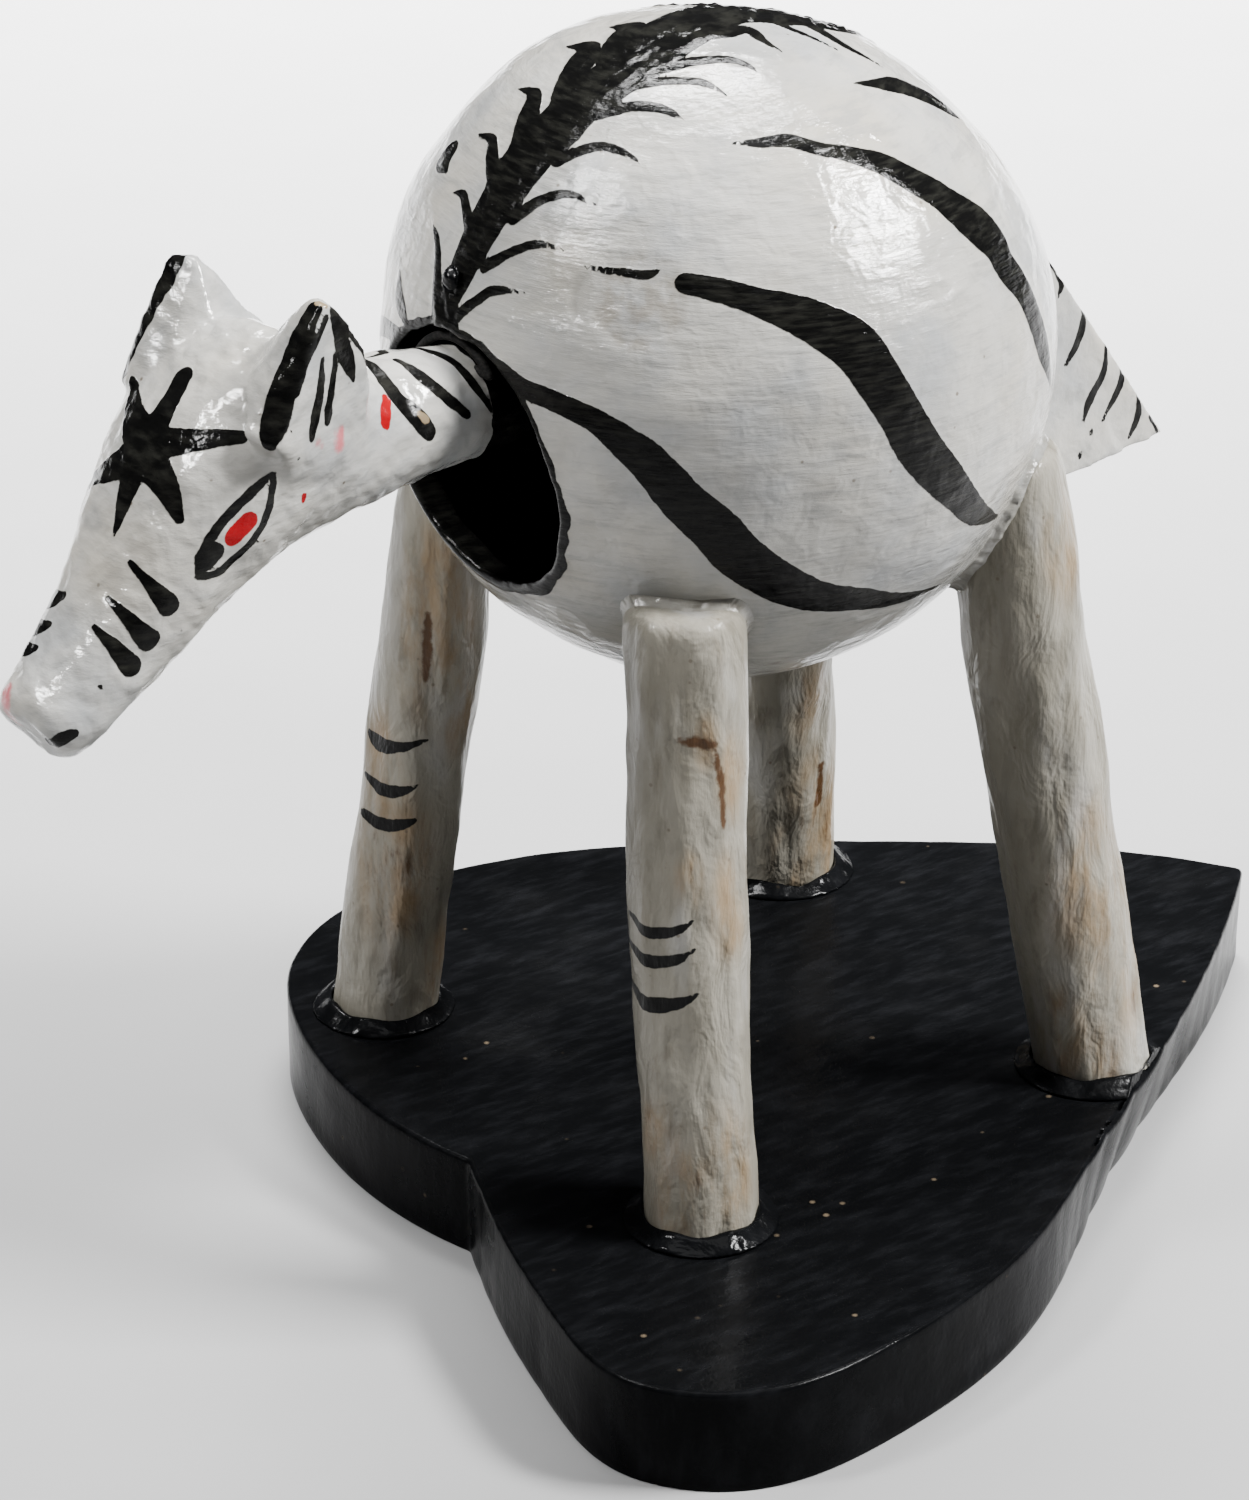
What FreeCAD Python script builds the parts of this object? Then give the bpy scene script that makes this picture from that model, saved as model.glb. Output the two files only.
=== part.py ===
import FreeCAD, Part
import math
import os

# A nodding gourd animal: a hollow gourd body on four stick legs, glued and nailed to a heart-shaped
# board, with a carved head that hangs by a loop of thread in the neck opening and is balanced by a
# lump of clay inside the body. The origin is on the board's underside, straight below the middle of
# the body. The animal looks along -Y, its left side is +X, and +Z is up. Sizes are in millimetres.

Vec = FreeCAD.Vector
Rot = FreeCAD.Rotation
Place = FreeCAD.Placement
X_AXIS = Vec(1, 0, 0)
Y_AXIS = Vec(0, 1, 0)
Z_AXIS = Vec(0, 0, 1)

doc = FreeCAD.newDocument("nodding_gourd_animal")

# ---------------------------------------------------------------- driving dimensions
DIMENSIONS = {
    "body_radius": 40.0,            # gourd, outside
    "body_height": 107.8,           # middle of the gourd above the table
    "wall": 3.4,                    # gourd shell
    "board_width": 126.6,
    "board_length": 142.6,
    "board_thickness": 13.0,
    "board_edge": 0.6,              # worn top edge
    "opening_radius": 16.0,         # neck opening
    "opening_side": 1.0,            # its middle, to the left of the body's middle
    "opening_drop": 7.0,            # its middle, below the body's middle
    "opening_tilt": 10.0,           # its axis points this far below level
    "neck_radius": 7.0,
    "neck_rise": 0.4,               # neck axis above the body's middle, at the opening
    "pivot_forward": 37.0,          # thread loop in front of the body's middle
    "pivot_rise": 5.4,              # cross hole above the body's middle
    "thread_radius": 0.55,
    "thread_gap": 0.07,             # thread to the wall of the neck's cross hole
    "thread_hole_radius": 0.75,     # in the gourd
    "knot_radius": 1.9,
    "head_turn": 5.0,               # the head hangs turned to its left by this much, in degrees
    "weight_radius": 10.4,          # clay lump
    "weight_forward": 7.8,          # middle of the lump, in front of the body's middle
    "weight_drop": 1.6,
    "nail_radius": 1.0,
    "nail_length": 30.0,
    "nail_head_radius": 2.3,
    "nail_head_thickness": 1.0,
    "glue_height": 1.8,
    "glue_reach": 3.0,              # glue ring beyond the foot
    "putty_thickness": 2.4,         # putty beyond the leg and proud of the gourd
    "leg_round": 2.4,               # rounded top of a leg
    "tail_root": 10.0,              # tail thickness at the gourd
    "tail_edge": 2.2,               # tail thickness at the free edge
    "tail_tenon_radius": 4.0,
    "tail_tenon_drop": 6.0,         # tenon's tilt below level, in degrees
    "tail_fit": 0.05,               # tenon to its hole
}

# Each leg: foot x, foot y, top x, top y, top's drop below the body's middle, foot radius, top radius.
LEGS = {
    "front_left": (33.0, -26.2, 26.0, -23.6, 18.5, 6.7, 7.2),
    "front_right": (-32.8, -27.8, -24.7, -20.7, 17.0, 6.6, 6.7),
    "rear_left": (32.2, 35.8, 24.3, 22.9, 11.0, 7.2, 7.7),
    "rear_right": (-33.5, 37.3, -21.4, 26.4, 13.0, 7.4, 7.2),
}
LEG_FIELDS = ("foot_x", "foot_y", "top_x", "top_y", "drop", "foot_radius", "top_radius")
for leg_name, values in LEGS.items():
    for field, value in zip(LEG_FIELDS, values):
        DIMENSIONS[leg_name + "_" + field] = value

sheet = doc.addObject("Spreadsheet::Sheet", "Size")
for row, (word, value) in enumerate(DIMENSIONS.items(), start=1):
    sheet.set("A%d" % row, word)
    sheet.set("B%d" % row, str(value))
    sheet.setAlias("B%d" % row, word)
doc.recompute()


def size(word):
    """One driving dimension, read from the sheet."""
    return float(sheet.get(word))


def bind(item, **expressions):
    """Tie properties to the sheet; a double underscore in a name stands for a dot."""
    for prop, expression in expressions.items():
        item.setExpression(prop.replace("__", "."), expression)


def add(kind, name, **expressions):
    """A document object whose sizes are bound to the sheet."""
    item = doc.addObject(kind, name)
    item.Label = name
    bind(item, **expressions)
    return item


def cut(name, base, tool):
    item = doc.addObject("Part::Cut", name)
    item.Base = base
    item.Tool = tool
    item.Label = name
    return item


def fuse(name, pieces):
    item = doc.addObject("Part::MultiFuse", name)
    item.Shapes = pieces
    item.Label = name
    return item


body_centre = Vec(0, 0, size("body_height"))


def in_body(x, y, z):
    """A point given from the middle of the gourd."""
    return body_centre + Vec(x, y, z)


# ---------------------------------------------------------------- gourd
gourd_outside = add("Part::Sphere", "gourd_outside", Radius="Size.body_radius",
                    Placement__Base__z="Size.body_height")
gourd_inside = add("Part::Sphere", "gourd_inside", Radius="Size.body_radius - Size.wall",
                   Placement__Base__z="Size.body_height")

OPENING_TOOL_LENGTH = 30.0
opening_tilt = Rot(X_AXIS, 90 + size("opening_tilt"))
opening_tool = add("Part::Cylinder", "opening_tool", Radius="Size.opening_radius")
opening_tool.Height = OPENING_TOOL_LENGTH
opening_middle = in_body(size("opening_side"), -size("body_radius"), -size("opening_drop"))
opening_start = opening_middle - opening_tilt.multVec(Z_AXIS) * (OPENING_TOOL_LENGTH / 2)
opening_tool.Placement = Place(opening_start, opening_tilt)

THREAD_HOLE_LENGTH = 23.0   # from the neck's axis to clear of the gourd
thread_hole = add("Part::Cylinder", "thread_hole", Radius="Size.thread_hole_radius",
                  Placement__Base__y="-Size.pivot_forward",
                  Placement__Base__z="Size.body_height + Size.neck_rise")
thread_hole.Height = THREAD_HOLE_LENGTH

TENON_START = 33.0
TENON_END = 44.0
tenon_turn = Rot(X_AXIS, -90 - size("tail_tenon_drop"))
tenon_start = body_centre + tenon_turn.multVec(Z_AXIS) * TENON_START
tenon_hole = add("Part::Cylinder", "tenon_hole", Radius="Size.tail_tenon_radius + Size.tail_fit")
tenon_hole.Height = TENON_END - TENON_START
tenon_hole.Placement = Place(tenon_start, tenon_turn)

shell_tools = fuse("shell_tools", [gourd_inside, opening_tool, thread_hole, tenon_hole])
body_shell = cut("body_shell", gourd_outside, shell_tools)

# ---------------------------------------------------------------- nails, up through the board into each leg
nail_list = []
for leg_name in LEGS:
    cell = "Size." + leg_name
    shank = add("Part::Cylinder", leg_name + "_nail_shank", Radius="Size.nail_radius",
                Height="Size.nail_length")
    nail_head = add("Part::Cylinder", leg_name + "_nail_head", Radius="Size.nail_head_radius",
                    Height="Size.nail_head_thickness")
    nail = fuse(leg_name + "_nail", [shank, nail_head])
    bind(nail, Placement__Base__x=cell + "_foot_x", Placement__Base__y=cell + "_foot_y")
    nail_list.append(nail)
leg_nails = doc.addObject("Part::Compound", "leg_nails")
leg_nails.Links = nail_list
leg_nails.Label = "leg_nails"

# ---------------------------------------------------------------- heart-shaped board
# Outline points as fractions of the board's width and length, from the point of the heart at the
# animal's rear, down the left side to the notch between the lobes, and back up the right side.
HEART_LEFT = ((0.027, 0.621), (0.19, 0.437), (0.37, 0.18), (0.48, 0.007), (0.533, -0.175),
              (0.522, -0.31), (0.44, -0.377), (0.308, -0.368), (0.174, -0.333), (0.047, -0.2875))
HEART_RIGHT = ((0.047, -0.2875), (-0.126, -0.304), (-0.26, -0.278), (-0.38, -0.22), (-0.454, -0.12),
               (-0.46, 0.014), (-0.403, 0.168), (-0.269, 0.351), (-0.126, 0.512), (0.027, 0.621))

board_body = doc.addObject("PartDesign::Body", "board_body")
board_sketch = board_body.newObject("Sketcher::SketchObject", "board_outline")
xy_plane = [plane for plane in board_body.Origin.OriginFeatures if plane.Role == "XY_Plane"][0]
board_sketch.AttachmentSupport = [(xy_plane, "")]
board_sketch.MapMode = "FlatFace"
for side in (HEART_LEFT, HEART_RIGHT):
    curve = Part.BSplineCurve()
    curve.interpolate([Vec(u * size("board_width"), v * size("board_length"), 0) for u, v in side])
    board_sketch.addGeometry(curve, False)
board_pad = board_body.newObject("PartDesign::Pad", "board_pad")
board_pad.Profile = board_sketch
bind(board_pad, Length="Size.board_thickness")
doc.recompute()
top_edges = ["Edge%d" % number for number, edge in enumerate(board_pad.Shape.Edges, start=1)
             if edge.BoundBox.ZMin > size("board_thickness") - 0.01]
board_chamfer = board_body.newObject("PartDesign::Chamfer", "board_chamfer")
board_chamfer.Base = (board_pad, top_edges)
bind(board_chamfer, Size="Size.board_edge")
base_board = cut("base_board", board_body, leg_nails)

# ---------------------------------------------------------------- legs, glue rings and putty
FOOT_OVERLAP = 3.0          # a leg's cone starts this far below the board's top and is cut level
PUTTY_LENGTH = 34.0         # more than the putty reaches down a leg
PUTTY_RISE = 1.0            # putty above the leg's top
GLUE_LIP = 0.5              # the glue ring's top edge beyond the foot
FAR = 200.0
board_space = add("Part::Box", "board_space", Height="Size.board_thickness")
board_space.Length = FAR
board_space.Width = FAR
board_space.Placement.Base = Vec(-FAR / 2, -FAR / 2, 0)
board_column = doc.addObject("Part::Extrusion", "board_column")
board_column.Base = board_sketch
board_column.DirMode = "Custom"
board_column.Dir = Z_AXIS
board_column.Solid = True
bind(board_column, LengthFwd="Size.board_thickness + Size.glue_height")
putty_limit = add("Part::Sphere", "putty_limit", Radius="Size.body_radius + Size.putty_thickness",
                  Placement__Base__z="Size.body_height")

for leg_name in LEGS:
    cell = "Size." + leg_name
    foot = Vec(size(leg_name + "_foot_x"), size(leg_name + "_foot_y"), size("board_thickness"))
    top = in_body(size(leg_name + "_top_x"), size(leg_name + "_top_y"), -size(leg_name + "_drop"))
    along = (top - foot).normalize()
    start = foot - along * FOOT_OVERLAP
    turn = Rot(Z_AXIS, along)

    stick = add("Part::Cone", leg_name + "_stick", Radius1=cell + "_foot_radius",
                Radius2=cell + "_top_radius")
    stick.Height = (top - start).Length
    stick.Placement = Place(start, turn)
    doc.recompute()
    stick_round = doc.addObject("Part::Fillet", leg_name + "_stick_round")
    stick_round.Base = stick
    top_edge = [number for number, edge in enumerate(stick.Shape.Edges, start=1)
                if edge.BoundBox.Center.distanceToPoint(top) < 1.0]
    stick_round.Edges = [(top_edge[0], size("leg_round"), size("leg_round"))]

    leg_tools = fuse(leg_name + "_leg_tools", [gourd_outside, board_space, leg_nails])
    leg = cut(leg_name + "_leg", stick_round, leg_tools)

    mound = add("Part::Cone", leg_name + "_glue_mound",
                Radius1=cell + "_foot_radius + Size.glue_reach",
                Radius2=cell + "_foot_radius + %s" % GLUE_LIP, Height="Size.glue_height",
                Placement__Base__x=cell + "_foot_x", Placement__Base__y=cell + "_foot_y",
                Placement__Base__z="Size.board_thickness")
    mound_on_board = doc.addObject("Part::Common", leg_name + "_mound_on_board")
    mound_on_board.Base = mound
    mound_on_board.Tool = board_column
    cut(leg_name + "_foot_glue", mound_on_board, stick)

    fat_stick = add("Part::Cylinder", leg_name + "_fat_stick",
                    Radius=cell + "_top_radius + Size.putty_thickness")
    fat_stick.Height = PUTTY_LENGTH
    fat_stick.Placement = Place(top - along * (PUTTY_LENGTH - PUTTY_RISE), turn)
    putty_blank = doc.addObject("Part::Common", leg_name + "_putty_blank")
    putty_blank.Base = fat_stick
    putty_blank.Tool = putty_limit
    putty_tools = fuse(leg_name + "_putty_tools", [gourd_outside, stick_round])
    cut(leg_name + "_leg_putty", putty_blank, putty_tools)

# ---------------------------------------------------------------- tail
# Side outline from the middle of the gourd: (back, up). The upper edge leaves the gourd tangentially.
TAIL_OUTLINE = ((28.0, 27.5), (33.5, 23.2), (71.6, -28.0), (54.0, -29.4), (44.0, -27.0), (30.0, -12.0))
tail_corners = [in_body(0, back, up) for back, up in TAIL_OUTLINE]
tail_plate = doc.addObject("Part::Feature", "tail_plate")
tail_face = Part.Face(Part.makePolygon(tail_corners + tail_corners[:1]))
tail_face.translate(Vec(-size("tail_root") / 2, 0, 0))
tail_plate.Shape = tail_face.extrude(Vec(size("tail_root"), 0, 0))

ridge_top = tail_corners[1]
ridge_end = tail_corners[2]
ridge_along = (ridge_end - ridge_top).normalize()
ridge_out = ridge_along.cross(X_AXIS)
if ridge_out.y < 0:
    ridge_out = ridge_out * -1
WEDGE_DEPTH = 34.0
WEDGE_LENGTH = 90.0
WEDGE_LEAD = 15.0           # the wedge starts this far above the plate's top corner
tail_wedge = doc.addObject("Part::Wedge", "tail_wedge")
tail_wedge.Ymin = 0
tail_wedge.Ymax = WEDGE_DEPTH
tail_wedge.Zmin = 0
tail_wedge.Zmax = WEDGE_LENGTH
tail_wedge.Z2min = 0
tail_wedge.Z2max = WEDGE_LENGTH
bind(tail_wedge, Xmin="-Size.tail_root / 2", Xmax="Size.tail_root / 2", X2min="-Size.tail_edge / 2",
     X2max="Size.tail_edge / 2")
wedge_turn = Rot(ridge_out.cross(ridge_along), ridge_out, ridge_along, "ZYX")
wedge_start = ridge_top - ridge_along * WEDGE_LEAD - ridge_out * WEDGE_DEPTH
tail_wedge.Placement = Place(wedge_start, wedge_turn)

tail_blade = doc.addObject("Part::Common", "tail_blade")
tail_blade.Base = tail_plate
tail_blade.Tool = tail_wedge
tail_blade_scribed = cut("tail_blade_scribed", tail_blade, gourd_outside)
tenon = add("Part::Cylinder", "tail_tenon", Radius="Size.tail_tenon_radius")
tenon.Height = TENON_END - TENON_START
tenon.Placement = Place(tenon_start, tenon_turn)
tail = fuse("tail", [tail_blade_scribed, tenon])

TAIL_PUTTY_RADIUS = 8.0
TAIL_PUTTY_SINK = 3.0       # middle of the putty ball below the gourd's surface
putty_middle_depth = size("body_radius") - TENON_START - TAIL_PUTTY_SINK
tail_putty_blank = doc.addObject("Part::Sphere", "tail_putty_blank")
tail_putty_blank.Radius = TAIL_PUTTY_RADIUS
tail_putty_blank.Placement.Base = tenon_start + tenon_turn.multVec(Z_AXIS) * putty_middle_depth
tail_putty_limit = doc.addObject("Part::Common", "tail_putty_limit")
tail_putty_limit.Base = tail_putty_blank
tail_putty_limit.Tool = putty_limit
tail_putty_tools = fuse("tail_putty_tools", [gourd_outside, tail_blade, tenon])
tail_putty = cut("tail_putty", tail_putty_limit, tail_putty_tools)

# ---------------------------------------------------------------- head and neck, one carving
# Each section of the carving: its top point and its bottom point as (forward, up) from the middle of
# the gourd, its half width, and how much wider it is at its top than at its bottom.
HEAD_SECTIONS = (
    ((36.0, 7.1), (36.0, -6.1), 6.6, 0.0),
    ((40.0, 7.5), (40.0, -6.3), 6.9, 0.0),
    ((45.0, 8.3), (45.0, -6.7), 7.3, 0.0),
    ((52.0, 9.2), (51.0, -7.7), 8.1, 0.0),
    ((58.5, 12.5), (56.5, -9.0), 9.3, 0.05),
    ((65.0, 17.2), (60.8, -10.4), 10.6, 0.1),
    ((70.4, 14.4), (64.6, -11.6), 11.0, 0.1),
    ((75.0, 10.4), (68.4, -13.0), 10.8, 0.1),
    ((79.3, 5.8), (72.4, -14.8), 10.0, 0.1),
    ((83.6, -0.8), (77.0, -17.2), 8.8, 0.1),
    ((87.4, -7.0), (81.4, -19.8), 7.7, 0.0),
    ((90.8, -12.2), (85.4, -22.2), 6.8, 0.0),
    ((94.1, -17.0), (89.2, -24.4), 5.9, 0.0),
    ((96.6, -20.8), (93.4, -25.4), 4.2, 0.0),
)
SECTION_POINTS = 12


def section_wire(top, bottom, half_width, flare):
    """A rounded closed outline across the head, between a top and a bottom point."""
    high = in_body(0, -top[0], top[1])
    low = in_body(0, -bottom[0], bottom[1])
    middle = (high + low) * 0.5
    up = (high - low) * 0.5
    points = []
    for number in range(SECTION_POINTS):
        turn = 2 * math.pi * number / SECTION_POINTS
        across = half_width * math.cos(turn) * (1 + flare * math.sin(turn))
        points.append(middle + X_AXIS * across + up * math.sin(turn))
    curve = Part.BSplineCurve()
    curve.interpolate(points, PeriodicFlag=True)
    return Part.Wire(curve.toShape())


NECK_INNER_END = 12.0       # in front of the body's middle
NECK_INNER_RADIUS = 4.8
NECK_LAP = 0.5              # the inner neck runs this far into the first section
neck_root = in_body(0, -HEAD_SECTIONS[0][0][0] - NECK_LAP, 0.5)
neck_inner = in_body(0, -NECK_INNER_END, 0)
tapered_neck = add("Part::Cone", "tapered_neck")
tapered_neck.Radius1 = NECK_INNER_RADIUS
tapered_neck.Radius2 = HEAD_SECTIONS[0][2]
tapered_neck.Height = (neck_root - neck_inner).Length
tapered_neck.Placement = Place(neck_inner, Rot(Z_AXIS, neck_root - neck_inner))
head_loft = doc.addObject("Part::Feature", "head_loft")
head_loft.Shape = Part.makeLoft([section_wire(*section) for section in HEAD_SECTIONS], True, False)

# Ears: (side, forward, up) of the middle of the base and of the tip.
EARS = {
    "left_ear": ((9.8, 68.4, 5.0), (11.8, 65.2, 21.4)),
    "right_ear": ((-9.8, 68.4, 5.0), (-11.8, 65.2, 21.4)),
}
EAR_BASE_RADIUS = 5.4
EAR_TIP_RADIUS = 1.2
ears = []
for ear_name, (base, tip) in EARS.items():
    ear_base = in_body(base[0], -base[1], base[2])
    ear_tip = in_body(tip[0], -tip[1], tip[2])
    ear = doc.addObject("Part::Cone", ear_name)
    ear.Radius1 = EAR_BASE_RADIUS
    ear.Radius2 = EAR_TIP_RADIUS
    ear.Height = (ear_tip - ear_base).Length
    ear.Placement = Place(ear_base, Rot(Z_AXIS, ear_tip - ear_base))
    ears.append(ear)
head_blank = fuse("head_blank", [tapered_neck, head_loft] + ears)

cross_hole = add("Part::Cylinder", "cross_hole", Radius="Size.thread_radius + Size.thread_gap")
cross_hole.Height = 4 * size("neck_radius")
pivot = in_body(0, -size("pivot_forward"), size("pivot_rise"))
cross_hole.Placement = Place(pivot - X_AXIS * 2 * size("neck_radius"), Rot(Y_AXIS, 90))
head_turn = Place(Vec(), Rot(Z_AXIS, size("head_turn")), pivot)
head = cut("head", head_blank, cross_hole)
head.Placement = head_turn

# ---------------------------------------------------------------- thread loop, knot and counterweight
LOOP_CLEARANCE = 0.3
loop_radius = size("neck_radius") + LOOP_CLEARANCE + size("thread_radius")
loop_middle = in_body(0, -size("pivot_forward"), size("neck_rise"))
loop_drop = size("pivot_rise") - size("neck_rise")
half_chord = math.sqrt(loop_radius ** 2 - loop_drop ** 2)
loop_half_angle = math.degrees(math.asin(half_chord / loop_radius))

loop_arc = add("Part::Torus", "loop_arc", Radius2="Size.thread_radius")
loop_arc.Radius1 = loop_radius
loop_arc.Angle3 = 2 * loop_half_angle
loop_turn = Rot(X_AXIS, 90) * Rot(Z_AXIS, 90 - loop_half_angle)
loop_arc.Placement = Place(loop_middle, loop_turn)
loop_bar = add("Part::Cylinder", "loop_bar", Radius="Size.thread_radius")
loop_bar.Height = 2 * half_chord
loop_bar.Placement = Place(pivot - X_AXIS * half_chord, Rot(Y_AXIS, 90))
loop_ends = []
for side in (-1, 1):
    loop_end = add("Part::Sphere", "loop_end_%d" % len(loop_ends), Radius="Size.thread_radius")
    loop_end.Placement.Base = pivot + X_AXIS * (side * half_chord)
    loop_ends.append(loop_end)
knot_seat = math.sqrt(size("body_radius") ** 2 - size("pivot_forward") ** 2)
STRAND_GAP = 1.75           # the strand ends this far below the knot, inside its slanting hole
loop_top = loop_radius + size("neck_rise")
strand = add("Part::Cylinder", "loop_strand", Radius="Size.thread_radius")
strand.Height = knot_seat - loop_top - STRAND_GAP
strand.Placement.Base = in_body(0, -size("pivot_forward"), loop_top)
neck_thread = fuse("neck_thread", [loop_arc, loop_bar, strand] + loop_ends)
neck_thread.Placement = head_turn

knot_ball = add("Part::Sphere", "knot_ball", Radius="Size.knot_radius")
knot_ball.Placement.Base = in_body(0, -size("pivot_forward"), knot_seat)
thread_knot = cut("thread_knot", knot_ball, gourd_outside)

weight_ball = add("Part::Sphere", "weight_ball", Radius="Size.weight_radius")
weight_ball.Placement.Base = in_body(0, -size("weight_forward"), -size("weight_drop"))
counterweight = cut("counterweight", weight_ball, tapered_neck)
counterweight.Placement = head_turn

# ---------------------------------------------------------------- check and write
SUB_PARTS = ["base_board", "body_shell", "leg_nails", "tail", "tail_putty", "head", "neck_thread",
             "thread_knot", "counterweight"]
for leg_name in LEGS:
    SUB_PARTS += [leg_name + "_leg", leg_name + "_foot_glue", leg_name + "_leg_putty"]

doc.recompute()
for item in doc.Objects:
    if "Invalid" in item.State or "Error" in item.State:
        raise RuntimeError("failed object: " + item.Label)
os.makedirs("parts", exist_ok=True)
for name in SUB_PARTS:
    item = doc.getObjectsByLabel(name)[0]
    if item.Shape.isNull() or not item.Shape.isValid():
        raise RuntimeError("bad shape: " + name)
for name in SUB_PARTS:
    item = doc.getObjectsByLabel(name)[0]
    item.Shape.exportStep("parts/" + name + ".step")
    print("%-24s %d solid(s) %10.1f mm3" % (name, len(item.Shape.Solids), item.Shape.Volume))
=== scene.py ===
import math

import bmesh
import bpy
import numpy as np
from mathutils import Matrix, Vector
from mathutils.bvhtree import BVHTree


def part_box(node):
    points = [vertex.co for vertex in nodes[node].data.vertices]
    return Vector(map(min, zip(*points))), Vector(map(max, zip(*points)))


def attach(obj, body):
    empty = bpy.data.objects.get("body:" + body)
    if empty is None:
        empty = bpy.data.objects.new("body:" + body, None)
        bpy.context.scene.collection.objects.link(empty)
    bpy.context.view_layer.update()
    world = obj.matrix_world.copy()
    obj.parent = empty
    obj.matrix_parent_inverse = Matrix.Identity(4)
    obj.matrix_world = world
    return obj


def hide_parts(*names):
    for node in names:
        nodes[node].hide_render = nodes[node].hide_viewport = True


# A nodding zebra made from a small gourd, four twigs and a carved head, on a black heart-shaped board.
# Shapes are worked out in millimetres and written in metres. The animal looks along -Y, its left is +X.

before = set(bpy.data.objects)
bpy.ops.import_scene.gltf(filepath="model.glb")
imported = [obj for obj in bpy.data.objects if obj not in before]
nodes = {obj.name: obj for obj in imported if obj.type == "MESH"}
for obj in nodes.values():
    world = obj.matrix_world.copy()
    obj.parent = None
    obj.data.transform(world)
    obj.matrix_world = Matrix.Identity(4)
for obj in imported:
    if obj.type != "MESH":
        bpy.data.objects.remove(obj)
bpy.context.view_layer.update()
scene = bpy.context.scene

MM = 0.001
shell_low, shell_high = (np.array(corner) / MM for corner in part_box("body_shell"))
CENTRE = np.array((0.0, 0.0, (shell_low[2] + shell_high[2]) / 2))
BOARD_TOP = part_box("base_board")[1].z / MM


# ------------------------------------ camera, light and floor
def towards(azimuth, elevation):
    """Unit vector from the object to somebody who looks at it from there."""
    turn, rise = math.radians(azimuth), math.radians(elevation)
    return Vector((math.sin(turn) * math.cos(rise), -math.cos(turn) * math.cos(rise), math.sin(rise)))


def aimed(item, aim, back, distance):
    item.location = aim + back * distance
    item.rotation_mode = "QUATERNION"
    item.rotation_quaternion = back.to_track_quat("Z", "Y")
    scene.collection.objects.link(item)
    return item


camera_data = bpy.data.cameras.new("camera")
camera_data.lens = 108
camera_data.clip_start = 0.01
camera_data.clip_end = 20
camera_aim = Vector((10.5, -21.0, 64.2)) * MM
camera_distance = 0.5294
scene.camera = aimed(bpy.data.objects.new("camera", camera_data), camera_aim, towards(54, 25.5),
                     camera_distance)

LIGHTS = (
    # name, azimuth and elevation as seen from the aim, distance, aim, width, height, watts, beam in degrees
    ("lamp_front", -17, 49, 1.0, (0, 0, 0.09), 0.12, 0.20, 13.0, 180),
    ("lamp_back", 137, 45, 1.0, (0, 0, 0.09), 0.24, 0.24, 50.0, 180),
    ("softbox_above", 60, 84, 1.6, (0, 0, 0.09), 0.9, 0.9, 8.0, 180),
    ("backdrop_lamp", 234, 84, 1.3, (-0.75, 0.55, 0), 1.0, 1.0, 130.0, 62),
)
for name, azimuth, elevation, distance, aim, width, height, watts, beam in LIGHTS:
    lamp = bpy.data.lights.new(name, "AREA")
    lamp.shape = "RECTANGLE"
    lamp.size = width
    lamp.size_y = height
    lamp.energy = watts
    lamp.spread = math.radians(beam)
    aimed(bpy.data.objects.new(name, lamp), Vector(aim), towards(azimuth, elevation), distance)

world = bpy.data.worlds.new("studio")
scene.world = world
world.use_nodes = True
sky = world.node_tree
sky_place = sky.nodes.new("ShaderNodeTexCoord")
sky_split = sky.nodes.new("ShaderNodeSeparateXYZ")
sky_ramp = sky.nodes.new("ShaderNodeValToRGB")
sky_ramp.color_ramp.elements[0].position = 0.7
sky_ramp.color_ramp.elements[0].color = (0.05, 0.05, 0.055, 1)
sky_ramp.color_ramp.elements[1].position = 1.0
sky_ramp.color_ramp.elements[1].color = (0.95, 0.96, 1.0, 1)
sky.links.new(sky_place.outputs["Generated"], sky_split.inputs[0])
sky.links.new(sky_split.outputs["Z"], sky_ramp.inputs[0])
sky.links.new(sky_ramp.outputs[0], sky.nodes["Background"].inputs["Color"])
sky.nodes["Background"].inputs["Strength"].default_value = 0.8


# ------------------------------------ shape helpers
def ripple(points, length, seed, stretch=(1, 1, 1), waves=28):
    """Smooth random unevenness of about unit size, with bumps about length mm across."""
    rng = np.random.default_rng(seed)
    heading = rng.normal(size=(waves, 3))
    heading /= np.linalg.norm(heading, axis=1)[:, None]
    pitch = 2 * math.pi / (length * rng.uniform(0.7, 1.5, waves))
    phase = rng.uniform(0, 2 * math.pi, waves)
    spread = (np.asarray(points) * stretch) @ (heading * pitch[:, None]).T + phase
    return np.sin(spread).sum(1) / math.sqrt(waves / 2)


def step(x, low, high):
    """Smooth step from 0 at low to 1 at high."""
    t = np.clip((x - low) / (high - low), 0, 1)
    return t * t * (3 - 2 * t)


def curve_through(rows, spacing):
    """Rows on a smooth curve through the given ones, about spacing mm apart. Columns 0 to 2 are a place."""
    rows = np.array(rows, float)
    rows = np.vstack((2 * rows[0] - rows[1], rows, 2 * rows[-1] - rows[-2]))
    made = []
    for a, b, c, d in zip(rows, rows[1:], rows[2:], rows[3:]):
        count = max(2, int(np.linalg.norm(c[:3] - b[:3]) / spacing) + 1)
        t = np.linspace(0, 1, count, endpoint=False)[:, None]
        made.append(0.5 * (2 * b + (c - a) * t + (2 * a - 5 * b + 4 * c - d) * t**2
                           + (3 * b - a - 3 * c + d) * t**3))
    made.append(rows[-2:-1])
    return np.vstack(made)


OUT_OF_REACH = 3.0


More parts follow.
